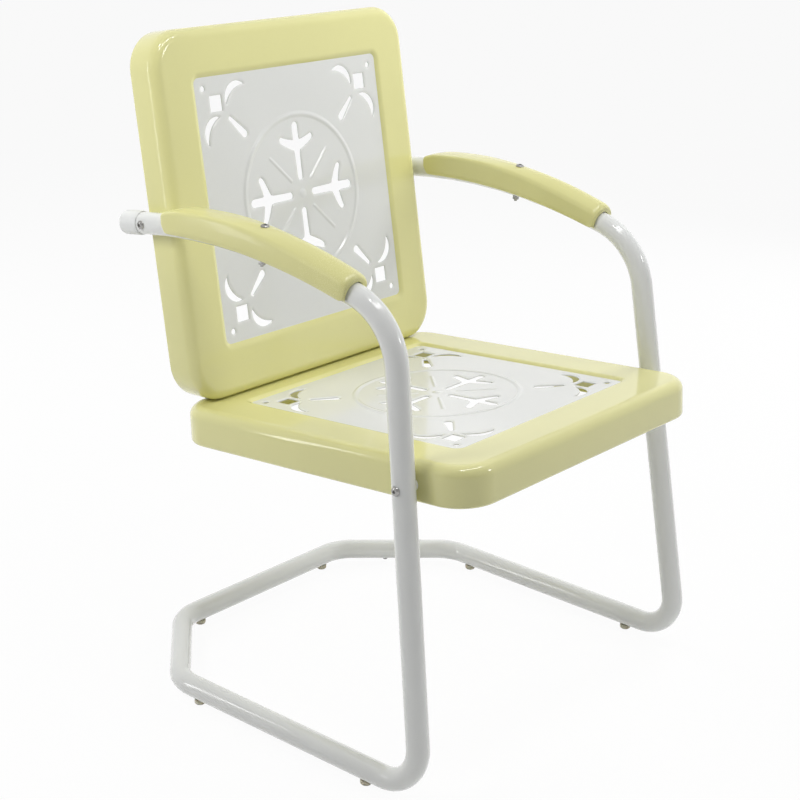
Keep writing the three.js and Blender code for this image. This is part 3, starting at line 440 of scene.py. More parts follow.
# %% Glide plastic
glide_plastic, tree, output = new_material("natural_plastic")
spots = add_node(tree, "ShaderNodeTexCoord")
flow = add_node(tree, "ShaderNodeTexNoise", Vector=spots.outputs["Object"], Scale=160, Detail=3)
cream = add_node(tree, "ShaderNodeMixRGB", input0=flow.outputs["Fac"],
                 input1=(0.60, 0.56, 0.42, 1), input2=(0.72, 0.68, 0.54, 1))
flow_bump = add_node(tree, "ShaderNodeBump", Strength=0.1, Distance=0.0003, Height=flow.outputs["Fac"])
soft = add_node(tree, "ShaderNodeBsdfPrincipled", Base_Color=cream.outputs[0],
                Normal=flow_bump.outputs[0])
soft.inputs["Roughness"].default_value = 0.42
soft.inputs["Subsurface Weight"].default_value = 0.35
soft.inputs["Subsurface Radius"].default_value = (0.004, 0.003, 0.002)
soft.inputs["Subsurface Scale"].default_value = 1.0
tree.links.new(soft.outputs[0], output.inputs["Surface"])
print("glide plastic has", len(tree.nodes), "nodes")

# %% [markdown]
# ## From shape to piece
#
# Every piece starts as a bmesh, the mesh that Blender edits in memory. These helpers make an
# object of it, give it a finish, tell the frame which body it rides on, and hide the CAD nodes
# that it replaces.

# %% Finish a piece
def as_mesh(name, shape, finish=None, sharp=35):
    """A smooth shaded mesh from a bmesh, with edges sharper than an angle kept crisp."""
    mesh = bpy.data.meshes.new(name)
    shape.to_mesh(mesh)
    shape.free()
    mesh.shade_smooth()
    mesh.set_sharp_from_angle(angle=math.radians(sharp))
    if finish:
        mesh.materials.append(finish)
    return mesh


def add_object(name, mesh):
    """An object at the origin that shows a mesh."""
    piece = bpy.data.objects.new(name, mesh)
    bpy.context.scene.collection.objects.link(piece)
    return piece


def add_piece(name, shape, finish, sharp=35):
    """A finished object from a bmesh."""
    return add_object(name, as_mesh(name, shape, finish, sharp))


def settle(piece, body, slot, *stands_for):
    """Attaches a finished piece to the body it rides on and hides the CAD nodes that it stands for. The
    slot is not used.
    """
    if body:
        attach(piece, body)
    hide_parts(*stands_for)


def carved(mesh, cutter_mesh):
    """A mesh with another one cut out of it by the Boolean modifier."""
    blank = add_object("blank", mesh)
    cutter = add_object("cutter", cutter_mesh)
    modifier = blank.modifiers.new("cut", "BOOLEAN")
    modifier.operation = "DIFFERENCE"
    modifier.solver = "EXACT"
    modifier.object = cutter
    settled = blank.evaluated_get(bpy.context.evaluated_depsgraph_get())
    result = bpy.data.meshes.new_from_object(settled)
    bpy.data.objects.remove(blank)
    bpy.data.objects.remove(cutter)
    return result


# %% Extrusion helpers
def verts_of(grown):
    """The vertices among an operator's results."""
    return [part for part in grown if isinstance(part, bmesh.types.BMVert)]


def edges_of(grown):
    """The edges among an operator's results."""
    return [part for part in grown if isinstance(part, bmesh.types.BMEdge)]


def grow_rim(shape, rim):
    """Extrudes an open rim on the spot, and gives its new vertices and its new edges."""
    grown = bmesh.ops.extrude_edge_only(shape, edges=rim)["geom"]
    return verts_of(grown), edges_of(grown)


print("helpers ready")

# %% [markdown]
# ## Stamped pans
#
# The seat and the back are square pans pressed from sheet steel. Seen in section, the sheet
# comes up from a turned-in hem, runs up the flange, rolls over a soft edge onto the flat
# border and steps down to the pierced middle. We could press a plate with proportional
# editing, but a section is easier to control: one rounded square loop is extruded again and
# again, and each new loop moves to its own inset and depth. Solidify then gives the sheet its
# thickness.

# %% The pan's section
SHEET = 1.2 * MM
WINDOW_WIDTH = 347 * MM
WINDOW_CORNER = 8 * MM
PAN_CORNER = 49 * MM
PAN_EDGE = 14 * MM
HEM = 5 * MM
HEM_WIDTH = 9 * MM
STEP_DEPTH = 3.2 * MM
STEP_RUN = 8 * MM
STEP_CURVE = 1.8
FLAT_MARGIN = 2 * MM
STEP_PARTS = 8
EDGE_PARTS = 9
HEM_PARTS = 5


def pan_section(width):
    """The sheet's outer face as inset and depth, from the window's edge out to the hem."""
    window_inset = (width - WINDOW_WIDTH) / 2
    section = []
    for part in range(STEP_PARTS + 1):
        along = part / STEP_PARTS
        section.append((window_inset - STEP_RUN * along, STEP_DEPTH * (1 - along) ** STEP_CURVE))
    section.append((window_inset - STEP_RUN - FLAT_MARGIN, 0))
    section.append((PAN_EDGE + FLAT_MARGIN, 0))
    for part in range(EDGE_PARTS + 1):
        angle = math.pi / 2 * part / EDGE_PARTS
        section.append((PAN_EDGE * (1 - math.sin(angle)), PAN_EDGE * (1 - math.cos(angle))))
    for part in range(HEM_PARTS + 1):
        angle = math.pi / 2 * part / HEM_PARTS
        section.append((HEM * (1 - math.cos(angle)), PAN_DEPTH - HEM * (1 - math.sin(angle))))
    section.append((HEM_WIDTH, PAN_DEPTH))
    return section


print("section points", len(pan_section(SEAT_WIDTH)))

# %% Grow the pan loop by loop
CORNER_PARTS = 12


def rounded_square(shape, half, corner):
    """A rounded square loop: a one-face grid with bevelled corners and its face taken away."""
    made = bmesh.ops.create_grid(shape, x_segments=1, y_segments=1, size=half)
    bmesh.ops.bevel(shape, geom=made["verts"], offset=corner, offset_type="OFFSET",
                    segments=CORNER_PARTS, profile=0.5, affect="VERTICES", material=-1)
    bmesh.ops.delete(shape, geom=list(shape.faces), context="FACES_ONLY")
    return list(shape.edges)


def reshaped(value, old_size, new_size):
    """Moves one coordinate of a rounded square of half width and corner radius to another."""
    (old_half, old_corner), (half, corner) = old_size, new_size
    out = max(0, abs(value) - old_half + old_corner) / old_corner
    return math.copysign(half - corner + corner * out, value)


def pan_shape(width):
    """A pan lying face up, with the origin in the middle of its face."""
    shape = bmesh.new()
    window_inset = (width - WINDOW_WIDTH) / 2
    rim, size = None, None
    for inset, depth in pan_section(width):
        near_window = inset > window_inset / 2
        corner = (WINDOW_CORNER + window_inset if near_window else PAN_CORNER) - inset
        new_size = (width / 2 - inset, corner)
        if rim is None:
            rim = rounded_square(shape, *new_size)
            verts = list(shape.verts)
        else:
            verts, rim = grow_rim(shape, rim)
            for vert in verts:
                vert.co.x = reshaped(vert.co.x, size, new_size)
                vert.co.y = reshaped(vert.co.y, size, new_size)
        for vert in verts:
            vert.co.z = -depth
        size = new_size
    bmesh.ops.recalc_face_normals(shape, faces=shape.faces)
    top = max(shape.faces, key=lambda face: face.calc_area())
    if top.normal.z < 0:
        bmesh.ops.reverse_faces(shape, faces=shape.faces)
    bmesh.ops.solidify(shape, geom=shape.faces, thickness=SHEET)
    return shape


BACK_FOOT_DROP = 5.4 * MM


def lower_front_foot(shape):
    """Slants the back's bottom flange down to its front, so it stands flat on the seat's border."""
    window_half = WINDOW_WIDTH / 2
    for vert in shape.verts:
        below = max(0, -vert.co.y - window_half) / (BACK_WIDTH / 2 - window_half)
        to_front = min(1, max(0, 1 + vert.co.z / PAN_DEPTH))
        vert.co.y -= BACK_FOOT_DROP * below * to_front


for name, width, place in (("seat", SEAT_WIDTH, seat_place), ("back", BACK_WIDTH, back_place)):
    shape = pan_shape(width)
    if name == "back":
        lower_front_foot(shape)
    bmesh.ops.transform(shape, matrix=place, verts=shape.verts)
    pan = add_piece(f"{name}_pan_sheet", shape, yellow_paint)
    settle(pan, "upper", "yellow_paint", f"{name}_pan")
    print(pan.name, len(pan.data.polygons), "faces")

# %% [markdown]
# ## The pierced panels
#
# The white middle of each pan is pierced: four cut-outs like dragonflies, and a dot, a square,
# two crescents and a teardrop in each corner. A raised bead, four ribs and a small boss are
# pressed into it. The press also draws the sheet down a little round each cut-out. We could
# fake all of that with a bump, but real relief catches light properly from every side. The
# plate is a grid, made finer near the pattern, cut by prisms, and then pressed: each vertex
# moves up or down by the relief at its place.

# %% Outlines of the cut-outs
PATTERN_CORNER = 0.4575
SQUARE_CENTRE = 0.398
SQUARE_SIDE = 20.2 * MM
DOT_RADIUS = 3.5 * MM
CRESCENT_NEAR = (0.346, 0.391)
CRESCENT_FAR = (0.247, 0.456)
OUTER_BULGE, INNER_BULGE = -0.37, -0.15
DROP_HEAD, DROP_TIP = 0.27, 0.336
DROP_HEAD_RADIUS, DROP_TIP_RADIUS = 4.8 * MM, 2.2 * MM
FLEUR = [
    (0.0125, 0.120), (0.0140, 0.169), (0.026, 0.1755), (0.045, 0.184), (0.066, 0.194),
    (0.083, 0.2045), (0.0905, 0.2125), (0.0910, 0.2230), (0.0830, 0.2290), (0.064, 0.2215),
    (0.045, 0.2160), (0.028, 0.2120), (0.0155, 0.2105), (0.0150, 0.240),
]
FLEUR_TIPS = (0.055, 0.281)
FLEUR_TIP_RADII = (4.3 * MM, 5.2 * MM)


def arc(centre, radius, start, end, parts):
    """Points on a circle between two angles in degrees."""
    x, y = centre
    angles = [math.radians(mix(start, end, part / parts)) for part in range(parts + 1)]
    return [(x + radius * math.cos(angle), y + radius * math.sin(angle)) for angle in angles]


def bulge(start, end, share, parts):
    """An arc between two places that stands out to the right by a share of its chord."""
    ahead = Vector((end[0] - start[0], end[1] - start[1]))
    chord = ahead.length
    ahead.normalize()
    radius = chord / (8 * share) + chord * share / 2
    half = math.asin(min(1, chord / (2 * radius)))
    points = []
    for part in range(parts + 1):
        angle = half * (2 * part / parts - 1)
        run = chord / 2 + radius * math.sin(angle)
        out = radius * (math.cos(angle) - math.cos(half))
        points.append((start[0] + ahead.x * run + ahead.y * out,
                       start[1] + ahead.y * run - ahead.x * out))
    return points


def softened(points):
    """Cuts the corners of a closed outline, a quarter in from each end, to round it."""
    cut = []
    for (x0, y0), (x1, y1) in zip(points, points[1:] + points[:1]):
        cut += [(mix(x0, x1, 0.25), mix(y0, y1, 0.25)), (mix(x0, x1, 0.75), mix(y0, y1, 0.75))]
    return cut


def scaled(pair):
    """A place on the panel, given in window widths from its middle."""
    return (pair[0] * WINDOW_WIDTH, pair[1] * WINDOW_WIDTH)


def corner_outlines():
    """The cut-outs of the corner at +X +Y."""
    dot = PATTERN_CORNER * WINDOW_WIDTH
    square = SQUARE_CENTRE * WINDOW_WIDTH
    low, high = square - SQUARE_SIDE / 2, square + SQUARE_SIDE / 2
    near, far = scaled(CRESCENT_NEAR), scaled(CRESCENT_FAR)
    crescent = bulge(far, near, OUTER_BULGE, 18) + bulge(far, near, INNER_BULGE, 14)[1:-1][::-1]
    head, tip = scaled((DROP_HEAD, DROP_HEAD)), scaled((DROP_TIP, DROP_TIP))
    drop = arc(head, DROP_HEAD_RADIUS, 135, 315, 12) + arc(tip, DROP_TIP_RADIUS, -45, 135, 8)
    return [
        arc((dot, dot), DOT_RADIUS, 0, 345, 23),
        [(low, low), (high, low), (high, high), (low, high)],
        crescent,
        [(y, x) for x, y in crescent],
        drop,
    ]


def fleur_outline():
    """The cut-out above the middle, like a dragonfly with its wings to the sides."""
    half = [scaled(pair) for pair in FLEUR]
    mirrored = [(-x, y) for x, y in reversed(half)]
    low, high = (tip * WINDOW_WIDTH for tip in FLEUR_TIPS)
    low_radius, high_radius = FLEUR_TIP_RADII
    foot_end = arc((0, low + low_radius), low_radius, 180, 360, 6)
    top_end = arc((0, high - high_radius), high_radius, 0, 180, 6)
    return softened(foot_end + half + top_end + mirrored)


def quarter_turned(points, quarter):
    """An outline turned round the panel's middle by some quarter turns."""
    cos, sin = ((1, 0), (0, 1), (-1, 0), (0, -1))[quarter]
    return [(cos * x - sin * y, sin * x + cos * y) for x, y in points]


CUT_WIDENING = 0.45 * MM


def widened(points, by):
    """A closed outline moved outwards by a little all round."""
    area = sum(x0 * y1 - x1 * y0 for (x0, y0), (x1, y1) in zip(points, points[1:] + points[:1]))
    by = math.copysign(by, area)
    moved = []
    for before, at, after in zip(points[-1:] + points[:-1], points, points[1:] + points[:1]):
        along = Vector((after[0] - before[0], after[1] - before[1])).normalized()
        moved.append((at[0] + along.y * by, at[1] - along.x * by))
    return moved


one_quarter = [widened(points, CUT_WIDENING) for points in corner_outlines() + [fleur_outline()]]
outlines = [quarter_turned(points, quarter) for quarter in range(4) for points in one_quarter]
print(len(outlines), "cut-outs")

# %% The relief
RING_RADIUS = 0.31 * WINDOW_WIDTH
RING_WIDTH = 8.4 * MM
RING_HEIGHT = 1.2 * MM
RIB_FROM = 0.078 * WINDOW_WIDTH
RIB_TO = 0.222 * WINDOW_WIDTH
RIB_WIDTH = 5 * MM
RIB_HEIGHT = 0.9 * MM
BOSS_RADIUS = 7 * MM
BOSS_HEIGHT = 1.1 * MM
BEAD_CURVE = 1.3
DISH_WIDTH = 3.8 * MM
DISH_DEPTH = 0.8 * MM


def hill(distance, width):
    """1 in the middle of a rounded bead and 0 from half its width on."""
    reach = min(1, abs(distance) / (width / 2))
    return (1 - reach * reach) ** BEAD_CURVE


def from_segment(x, y, start, end):
    """The distance from a place to a straight piece of an outline."""
    run, over = end[0] - start[0], end[1] - start[1]
    share = ((x - start[0]) * run + (y - start[1]) * over) / (run * run + over * over)
    share = min(1, max(0, share))
    return math.hypot(x - start[0] - share * run, y - start[1] - share * over)


def boxed(points):
    xs, ys = zip(*points)
    return min(xs), min(ys), max(xs), max(ys)


boxes = [(boxed(points), points) for points in outlines]


def from_cutout(x, y, reach):
    """The distance to the nearest cut-out's edge, or the reach where none is as near."""
    best = reach
    for (x0, y0, x1, y1), points in boxes:
        if x0 - reach < x < x1 + reach and y0 - reach < y < y1 + reach:
            for start, end in zip(points, points[1:] + points[:1]):
                best = min(best, from_segment(x, y, start, end))
    return best


def near_rib(x, y):
    """The distance to the nearest of the four diagonal ribs."""
    low, high = RIB_FROM * math.sqrt(0.5), RIB_TO * math.sqrt(0.5)
    return from_segment(abs(x), abs(y), (low, low), (high, high))


def relief(x, y):
    """How far the pressed sheet stands up at a place."""
    radius = math.hypot(x, y)
    height = RING_HEIGHT * hill(radius - RING_RADIUS, RING_WIDTH)
    height = max(height, RIB_HEIGHT * hill(near_rib(x, y), RIB_WIDTH))
    height = max(height, BOSS_HEIGHT * hill(radius, 2 * BOSS_RADIUS))
    drawn = 1 - from_cutout(x, y, DISH_WIDTH) / DISH_WIDTH
    return height - DISH_DEPTH * drawn * drawn


print("relief on the bead", round(relief(RING_RADIUS, 0) / MM, 2), "mm")

# %% Grid, cut and press
PANEL_LAP = 1.0 * MM
GRID_PARTS = 60
FINE_PARTS = 4
BEAD_REACH = 6 * MM
BOSS_REACH = 12 * MM
CUT_REACH = 9 * MM
PRISM_HEIGHT = 12 * MM


def prisms():
    """One prism for each cut-out, taller than the plate is thick."""
    shape = bmesh.new()
    for points in outlines:
        face = shape.faces.new([shape.verts.new((x, y, -PRISM_HEIGHT / 2)) for x, y in points])
        face.normal_update()
        if face.normal.z > 0:
            face.normal_flip()
        grown = bmesh.ops.extrude_face_region(shape, geom=[face], use_keep_orig=True)["geom"]
        bmesh.ops.translate(shape, verts=verts_of(grown), vec=(0, 0, PRISM_HEIGHT))
    bmesh.ops.recalc_face_normals(shape, faces=shape.faces)
    return as_mesh("prisms", shape)


def plate():
    """A plate of squares, cut finer where the pattern is, with the sheet's thickness."""
    shape = bmesh.new()
    half = WINDOW_WIDTH / 2 + PANEL_LAP
    bmesh.ops.create_grid(shape, x_segments=GRID_PARTS, y_segments=GRID_PARTS, size=half)
    chosen = set()
    for face in shape.faces:
        x, y, _ = face.calc_center_median()
        radius = math.hypot(x, y)
        on_ring = abs(radius - RING_RADIUS) < BEAD_REACH + RING_WIDTH / 2
        on_boss_or_rib = radius < BOSS_REACH or near_rib(x, y) < BEAD_REACH
        if on_ring or on_boss_or_rib or from_cutout(x, y, CUT_REACH) < CUT_REACH:
            chosen.update(face.edges)
    bmesh.ops.subdivide_edges(shape, edges=list(chosen), cuts=FINE_PARTS, use_grid_fill=True)
    bmesh.ops.solidify(shape, geom=shape.faces, thickness=SHEET)
    return as_mesh("plate", shape)


def panel_shape():
    """The pierced and pressed panel, lying face up at the origin."""
    shape = bmesh.new()
    shape.from_mesh(carved(plate(), prisms()))
    bmesh.ops.remove_doubles(shape, verts=shape.verts, dist=MERGE)
    for vert in shape.verts:
        vert.co.z += relief(vert.co.x, vert.co.y)
    return shape


pressed = panel_shape()
bmesh.ops.translate(pressed, verts=pressed.verts, vec=(0, 0, -STEP_DEPTH))
holes = len(outlines)
rings = len(pressed.edges) - len(pressed.verts) - len(pressed.faces) + 2
print("panel has", len(pressed.faces), "faces and", rings // 2, "holes for", holes, "cut-outs")

# %% Panels in place
for name, place in (("seat", seat_place), ("back", back_place)):
    shape = pressed.copy()
    bmesh.ops.transform(shape, matrix=place, verts=shape.verts)
    panel = add_piece(f"{name}_pierced_sheet", shape, white_paint)
    settle(panel, "upper", "white_paint", f"{name}_panel")
    print(panel.name, len(panel.data.polygons), "faces")
pressed.free()

# %% [markdown]
# ## Bent tubes
# A tube bender works in steps: it feeds the tube straight, then turns it round a former. The
# same recipe makes the mesh. A circle is extruded along each straight and spun round the
# centre of each bend, and the wall is added last. Each side of the frame is one tube, from the
# arm's end down to the floor and back to the swaged joint. The real chair springs between the
# frame's two bodies, but the tube here is not attached to either of them.

# %% The tube bender
TUBE_WALL = 1.5 * MM
TUBE_SIDES = 40
BEND_STEP = math.radians(3)
FEED_STEP = 24 * MM


def feed(shape, rim, travel):
    """Extrudes the open end of a tube straight on, in short steps."""
    steps = max(1, math.ceil(travel.length / FEED_STEP))
    for _ in range(steps):
        verts, rim = grow_rim(shape, rim)
        bmesh.ops.translate(shape, verts=verts, vec=travel / steps)
    return rim


def bend_tube(points, radii):
    """The skin of a tube that runs through these corners, with a bend at each inner one."""
    shape = bmesh.new()
    heading = towards(points[0], points[1])
    start = Matrix.Translation(points[0]) @ heading.to_track_quat("Z", "Y").to_matrix().to_4x4()
    bmesh.ops.create_circle(shape, cap_ends=False, radius=TUBE_RADIUS, segments=TUBE_SIDES,
                            matrix=start)
    rim, place = list(shape.edges), points[0]
    for corner, after, bend_radius in zip(points[1:-1], points[2:], radii):
        leaving = towards(corner, after)
        angle = heading.angle(leaving)
        setback = bend_radius * math.tan(angle / 2)
        bend_start = corner - heading * setback
        rim = feed(shape, rim, bend_start - place)
        axis = heading.cross(leaving).normalized()
        spun = bmesh.ops.spin(shape, geom=rim, cent=bend_start + axis.cross(heading) * bend_radius,
                              axis=axis, angle=angle, steps=max(2, math.ceil(angle / BEND_STEP)))
        rim = edges_of(spun["geom_last"])
        place, heading = corner + leaving * setback, leaving
    feed(shape, rim, points[-1] - place)
    return shape


def walled(shape):
    """Points a tube's faces outwards and gives it its wall."""
    bmesh.ops.remove_doubles(shape, verts=shape.verts, dist=MERGE)
    bmesh.ops.recalc_face_normals(shape, faces=shape.faces)
    bmesh.ops.solidify(shape, geom=shape.faces, thickness=TUBE_WALL)
    return shape


for name, at in corners.items():
    route = [at[place] for place in ("arm_end", "arm", "shoulder", "foot", "runner_rear", "joint")]
    shape = walled(bend_tube(route, [ARM_BEND, SHOULDER_BEND, FLOOR_BEND, REAR_BEND]))
    tube = add_piece(f"{name}_side_tube", shape, white_paint)
    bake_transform(tube)
    settle(tube, None, "white_paint", f"{name}_arm_leg_tube", f"{name}_runner_tube")
    print(tube.name, len(tube.data.polygons), "faces")

# %% [markdown]
# ## The rear cross tube
#
# The runners end in swaged joints: the end of the cross tube is squeezed narrower and pushed
# inside the runner. So the cross tube gets a short tapered neck and a thinner spigot at both
# ends, each made by scaling the rim as it is extruded.

# %% Cross tube
NECK_AND_SPIGOT = ((0.3 * MM, 0.985), (0.5 * MM, 0.9), (34 * MM, 1.0))


def narrowed(shape, rim, travel, scale):
    """Feeds a rim on by one step and scales it about its own middle."""
    verts, rim = grow_rim(shape, rim)
    bmesh.ops.translate(shape, verts=verts, vec=travel)
    middle = sum((vert.co for vert in verts), Vector()) / len(verts)
    bmesh.ops.scale(shape, verts=verts, vec=(scale,) * 3, space=Matrix.Translation(-middle))
    return rim


left, right = corners["left"], corners["right"]
route = [left["joint"], left["cross"], right["cross"], right["joint"]]
shape = bend_tube(route, [REAR_BEND, REAR_BEND])
open_edges = [edge for edge in shape.edges if edge.is_boundary]
for at in (left, right):
    out = towards(at["cross"], at["runner_rear"])
    rim = [edge for edge in open_edges if (edge.verts[0].co - at["joint"]).length < 2 * TUBE_RADIUS]
    for travel, scale in NECK_AND_SPIGOT:
        rim = narrowed(shape, rim, out * travel, scale)
cross = add_piece("cross_tube", walled(shape), white_paint)
settle(cross, "base", "white_paint", "rear_cross_tube")
print(cross.name, len(cross.data.polygons), "faces")

# %% [markdown]
# ## Turned parts
#
# End caps, spacers, glides and screw heads are all round, so each is a profile spun once round
# its axis. The helper spins about +Z, and a matrix then carries the piece to its place and
# points it the right way.

# %% The lathe
def lathe(profile, steps):
    """Spins a profile of radius and height once round +Z and closes it."""
    shape = bmesh.new()
    verts = [shape.verts.new((radius, 0, height)) for radius, height in profile]
    edges = [shape.edges.new(pair) for pair in zip(verts, verts[1:])]
    bmesh.ops.spin(shape, geom=verts + edges, cent=(0, 0, 0), axis=(0, 0, 1), angle=math.tau,
                   steps=steps, use_merge=True)
    bmesh.ops.remove_doubles(shape, verts=shape.verts, dist=MERGE / 2)
    bmesh.ops.recalc_face_normals(shape, faces=shape.faces)
    return shape


def aimed(place, direction):
    """The matrix that carries a turned part to its place and points its +Z along a direction."""
    return Matrix.Translation(place) @ direction.to_track_quat("Z", "Y").to_matrix().to_4x4()


# %% End caps
CAP_LENGTH = 34 * MM
CAP_ROOF = 30 * MM
CAP_BORE = TUBE_RADIUS + 0.3 * MM
CAP_OUTER = CAP_BORE + 1.1 * MM
CAP_ROUND = 7 * MM
CAP_LIP = 0.2 * MM
CAP_RIM_START = CAP_BORE + 0.3 * MM
CAP_RIM_STEP = 1.2 * MM
CAP_RIM_PARTS = 5
CAP_FLAT, CAP_DOME = 4 * MM, 0.12 * MM
CAP_GAP = 0.3 * MM

cap_profile = [(0, CAP_ROOF), (CAP_BORE, CAP_ROOF), (CAP_BORE, 0), (CAP_BORE + CAP_LIP, 0)]
for part in range(CAP_RIM_PARTS + 1):
    swell = math.sin(math.pi / 2 * part / CAP_RIM_PARTS)
    cap_profile.append((mix(CAP_RIM_START, CAP_OUTER, swell), part * CAP_RIM_STEP))
cap_profile += arc((CAP_OUTER - CAP_ROUND, CAP_LENGTH - CAP_ROUND), CAP_ROUND, 0, 75, 8)
cap_profile += [(CAP_FLAT, CAP_LENGTH - CAP_DOME), (0, CAP_LENGTH)]
for name, at in corners.items():
    tailward = towards(at["arm"], at["arm_end"])
    shape = lathe(cap_profile, 48)
    place = aimed(at["arm_end"] + tailward * (CAP_GAP - CAP_ROOF), tailward)
    bmesh.ops.transform(shape, matrix=place, verts=shape.verts)
    cap = add_piece(f"{name}_slip_cap", shape, white_plastic)
    settle(cap, "upper", "white_plastic", f"{name}_arm_end_cap")
print("cap diameter", round(2 * CAP_OUTER / MM, 1), "mm")

# %% Glides
GLIDE_RADIUS = 7.5 * MM
GLIDE_NECK = GLIDE_HEIGHT - 0.3 * MM
GLIDE_ROUND = 3.3 * MM
GLIDE_FLAT = 4.2 * MM
GLIDE_EDGE, GLIDE_CHAMFER = 0.6 * MM, 0.4 * MM
STEM_RADIUS = 3 * MM
STEM_TOP = GLIDE_NECK + 9 * MM

glide_profile = [(0, 0), (GLIDE_FLAT, 0)] + arc((GLIDE_FLAT, GLIDE_ROUND), GLIDE_ROUND, -80, 0, 7)
glide_profile += [(GLIDE_RADIUS, GLIDE_NECK - GLIDE_EDGE), (GLIDE_RADIUS - GLIDE_CHAMFER, GLIDE_NECK)]
glide_profile += [(STEM_RADIUS, GLIDE_NECK), (STEM_RADIUS, STEM_TOP), (0, STEM_TOP)]
for name in SIDES:
    for where in ("front", "rear", "cross"):
        low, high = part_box(f"{name}_{where}_glide")
        middle = (low + high) / 2
        shape = lathe(glide_profile, 36)
        bmesh.ops.translate(shape, verts=shape.verts, vec=(middle.x, middle.y, 0))
        glide = add_piece(f"{name}_{where}_foot", shape, glide_plastic)
        settle(glide, "base", "glide_plastic", f"{name}_{where}_glide")
print("six glides")

# %% [markdown]
# ## Armrests
#
# Each armrest is a moulded saddle that sits over the tube. It is easiest to model lying
# straight: the saddle's section is extruded along its length. Moving the rings then arches the
# top towards the front, rounds the front end and pulls the nose at the rear down. At the end
# the whole piece is bent round the arm by measuring each point along, across and above the
# tube.

# %% The arm as a path
ARMREST_LEAD = 4 * MM
ARMREST_TO_BOLT = 40.6 * MM


def arm_bend(at):
    """The arm's bend from the tail forwards: centre, first spoke, axis, angle and way in."""
    entry = towards(at["arm_end"], at["arm"])
    leaving = towards(at["arm"], at["shoulder"])
    angle = entry.angle(leaving)
    axis = entry.cross(leaving).normalized()
    start = at["arm"] - entry * ARM_BEND * math.tan(angle / 2)
    centre = start + axis.cross(entry) * ARM_BEND
    return centre, start - centre, axis, angle, entry


def arm_place(at, from_front):
    """A point on the arm's centre line and the way forward there."""
    centre, spoke, axis, angle, entry = arm_bend(at)
    turn = angle - (from_front - ARMREST_LEAD) / ARM_BEND
    held = min(turn, angle)
    rotation = Matrix.Rotation(held, 3, axis)
    forward = rotation @ entry
    point = centre + rotation @ spoke + forward * max(0, turn - angle) * ARM_BEND
    return point, forward


ARMREST_LENGTH = ARMREST_LEAD + ARM_BEND * arm_back.angle(arm_down) - ARMREST_TO_BOLT
print("armrest length", round(ARMREST_LENGTH / MM, 1), "mm")

# %% The saddle
SADDLE_HALF = 21.5 * MM
SADDLE_TOP = 22 * MM
SADDLE_CROWN = 4.5 * MM
SADDLE_DROP = 6.5 * MM
SADDLE_EDGE = 5 * MM
SADDLE_SWELL = 0.8 * MM
SADDLE_RIDGE = SADDLE_TOP + 0.9 * MM
TOP_ARCH = 10 * MM
TOP_LIFT = 2.5 * MM
ARCH_START, ARCH_RUN = 0.75, 0.6
SADDLE_BORE = TUBE_RADIUS + 0.3 * MM
ON_BORE = 0.05 * MM
LIP_IN = 0.9 * MM
LIP_SIDE_IN, LIP_SIDE_UP = 0.15 * MM, 0.6 * MM
NOSE_LENGTH = 34 * MM
NOSE_HALF = 17 * MM
NOSE_DROP = SADDLE_TOP - TUBE_RADIUS - 2.2 * MM
FRONT_ROUND = 10 * MM
FRONT_FALL = 5 * MM
FRONT_RISE = 4 * MM
FRONT_TAPER = 0.10
MOUTH_LENGTH = 4 * MM
MOUTH_FLARE = 0.09
REAR_CUT = 12 * MM


def saddle_section():
    """The saddle's section, across and above the tube, from its lower right edge round."""
    inner = SADDLE_HALF - SADDLE_EDGE
    shoulder_height = SADDLE_TOP - SADDLE_EDGE
    right = [(SADDLE_HALF - LIP_IN, -SADDLE_DROP)]
    right += [(SADDLE_HALF - LIP_SIDE_IN, -SADDLE_DROP + LIP_SIDE_UP)]
    right += [(SADDLE_HALF, 0), (SADDLE_HALF, shoulder_height / 2)]
    right += arc((inner, shoulder_height), SADDLE_EDGE, 0, 80, 8)
    right += [(mix(inner, 0, share), SADDLE_TOP + SADDLE_SWELL * share) for share in (0.35, 0.7)]
    left_side = [(-x, z) for x, z in reversed(right)]
    lip = math.degrees(math.asin(SADDLE_DROP / SADDLE_BORE))
    channel = arc((0, 0), SADDLE_BORE, 180 + lip, -lip, 24)
    return right + [(0, SADDLE_RIDGE)] + left_side + channel


section = saddle_section()
print("saddle section has", len(section), "points")

# %% Shape and bend it
def saddle_shape():
    """A straight saddle that runs along +Y from its front end."""
    shape = bmesh.new()
    verts = [shape.verts.new((x, 0, z)) for x, z in section]
    rim = [shape.edges.new(pair) for pair in zip(verts, verts[1:] + verts[:1])]
    bmesh.ops.contextual_create(shape, geom=rim)
    nose_start = ARMREST_LENGTH - NOSE_LENGTH
    stations = [FRONT_ROUND * (1 - math.cos(math.pi / 2 * part / 8)) for part in range(1, 9)]
    stations += [mix(FRONT_ROUND, nose_start, part / 24) for part in range(1, 25)]
    stations += [nose_start + NOSE_LENGTH * math.sin(math.pi / 2 * part / 12) for part in range(1, 13)]
    reached = 0
    for station in stations:
        verts, rim = grow_rim(shape, rim)
        bmesh.ops.translate(shape, verts=verts, vec=(0, station - reached, 0))
        reached = station
    bmesh.ops.contextual_create(shape, geom=rim)
    bmesh.ops.recalc_face_normals(shape, faces=shape.faces)
    return shape


def rounded_fall(along):
    """0 up to a round end's start and 1 at its tip, along a quarter circle."""
    return 1 - math.sqrt(max(0, 1 - max(0, along) ** 2))


def crown_height(y):
    """How far the top's middle swells up between its two ends."""
    return SADDLE_CROWN * math.sin(math.pi * y / ARMREST_LENGTH)


def arch_share(y):
    """How much the top is arched across: none in the rear quarter, all of it near the front."""
    ahead = min(1, max(0, (ARCH_START - y / ARMREST_LENGTH) / ARCH_RUN))
    return ahead * ahead * (3 - 2 * ahead)


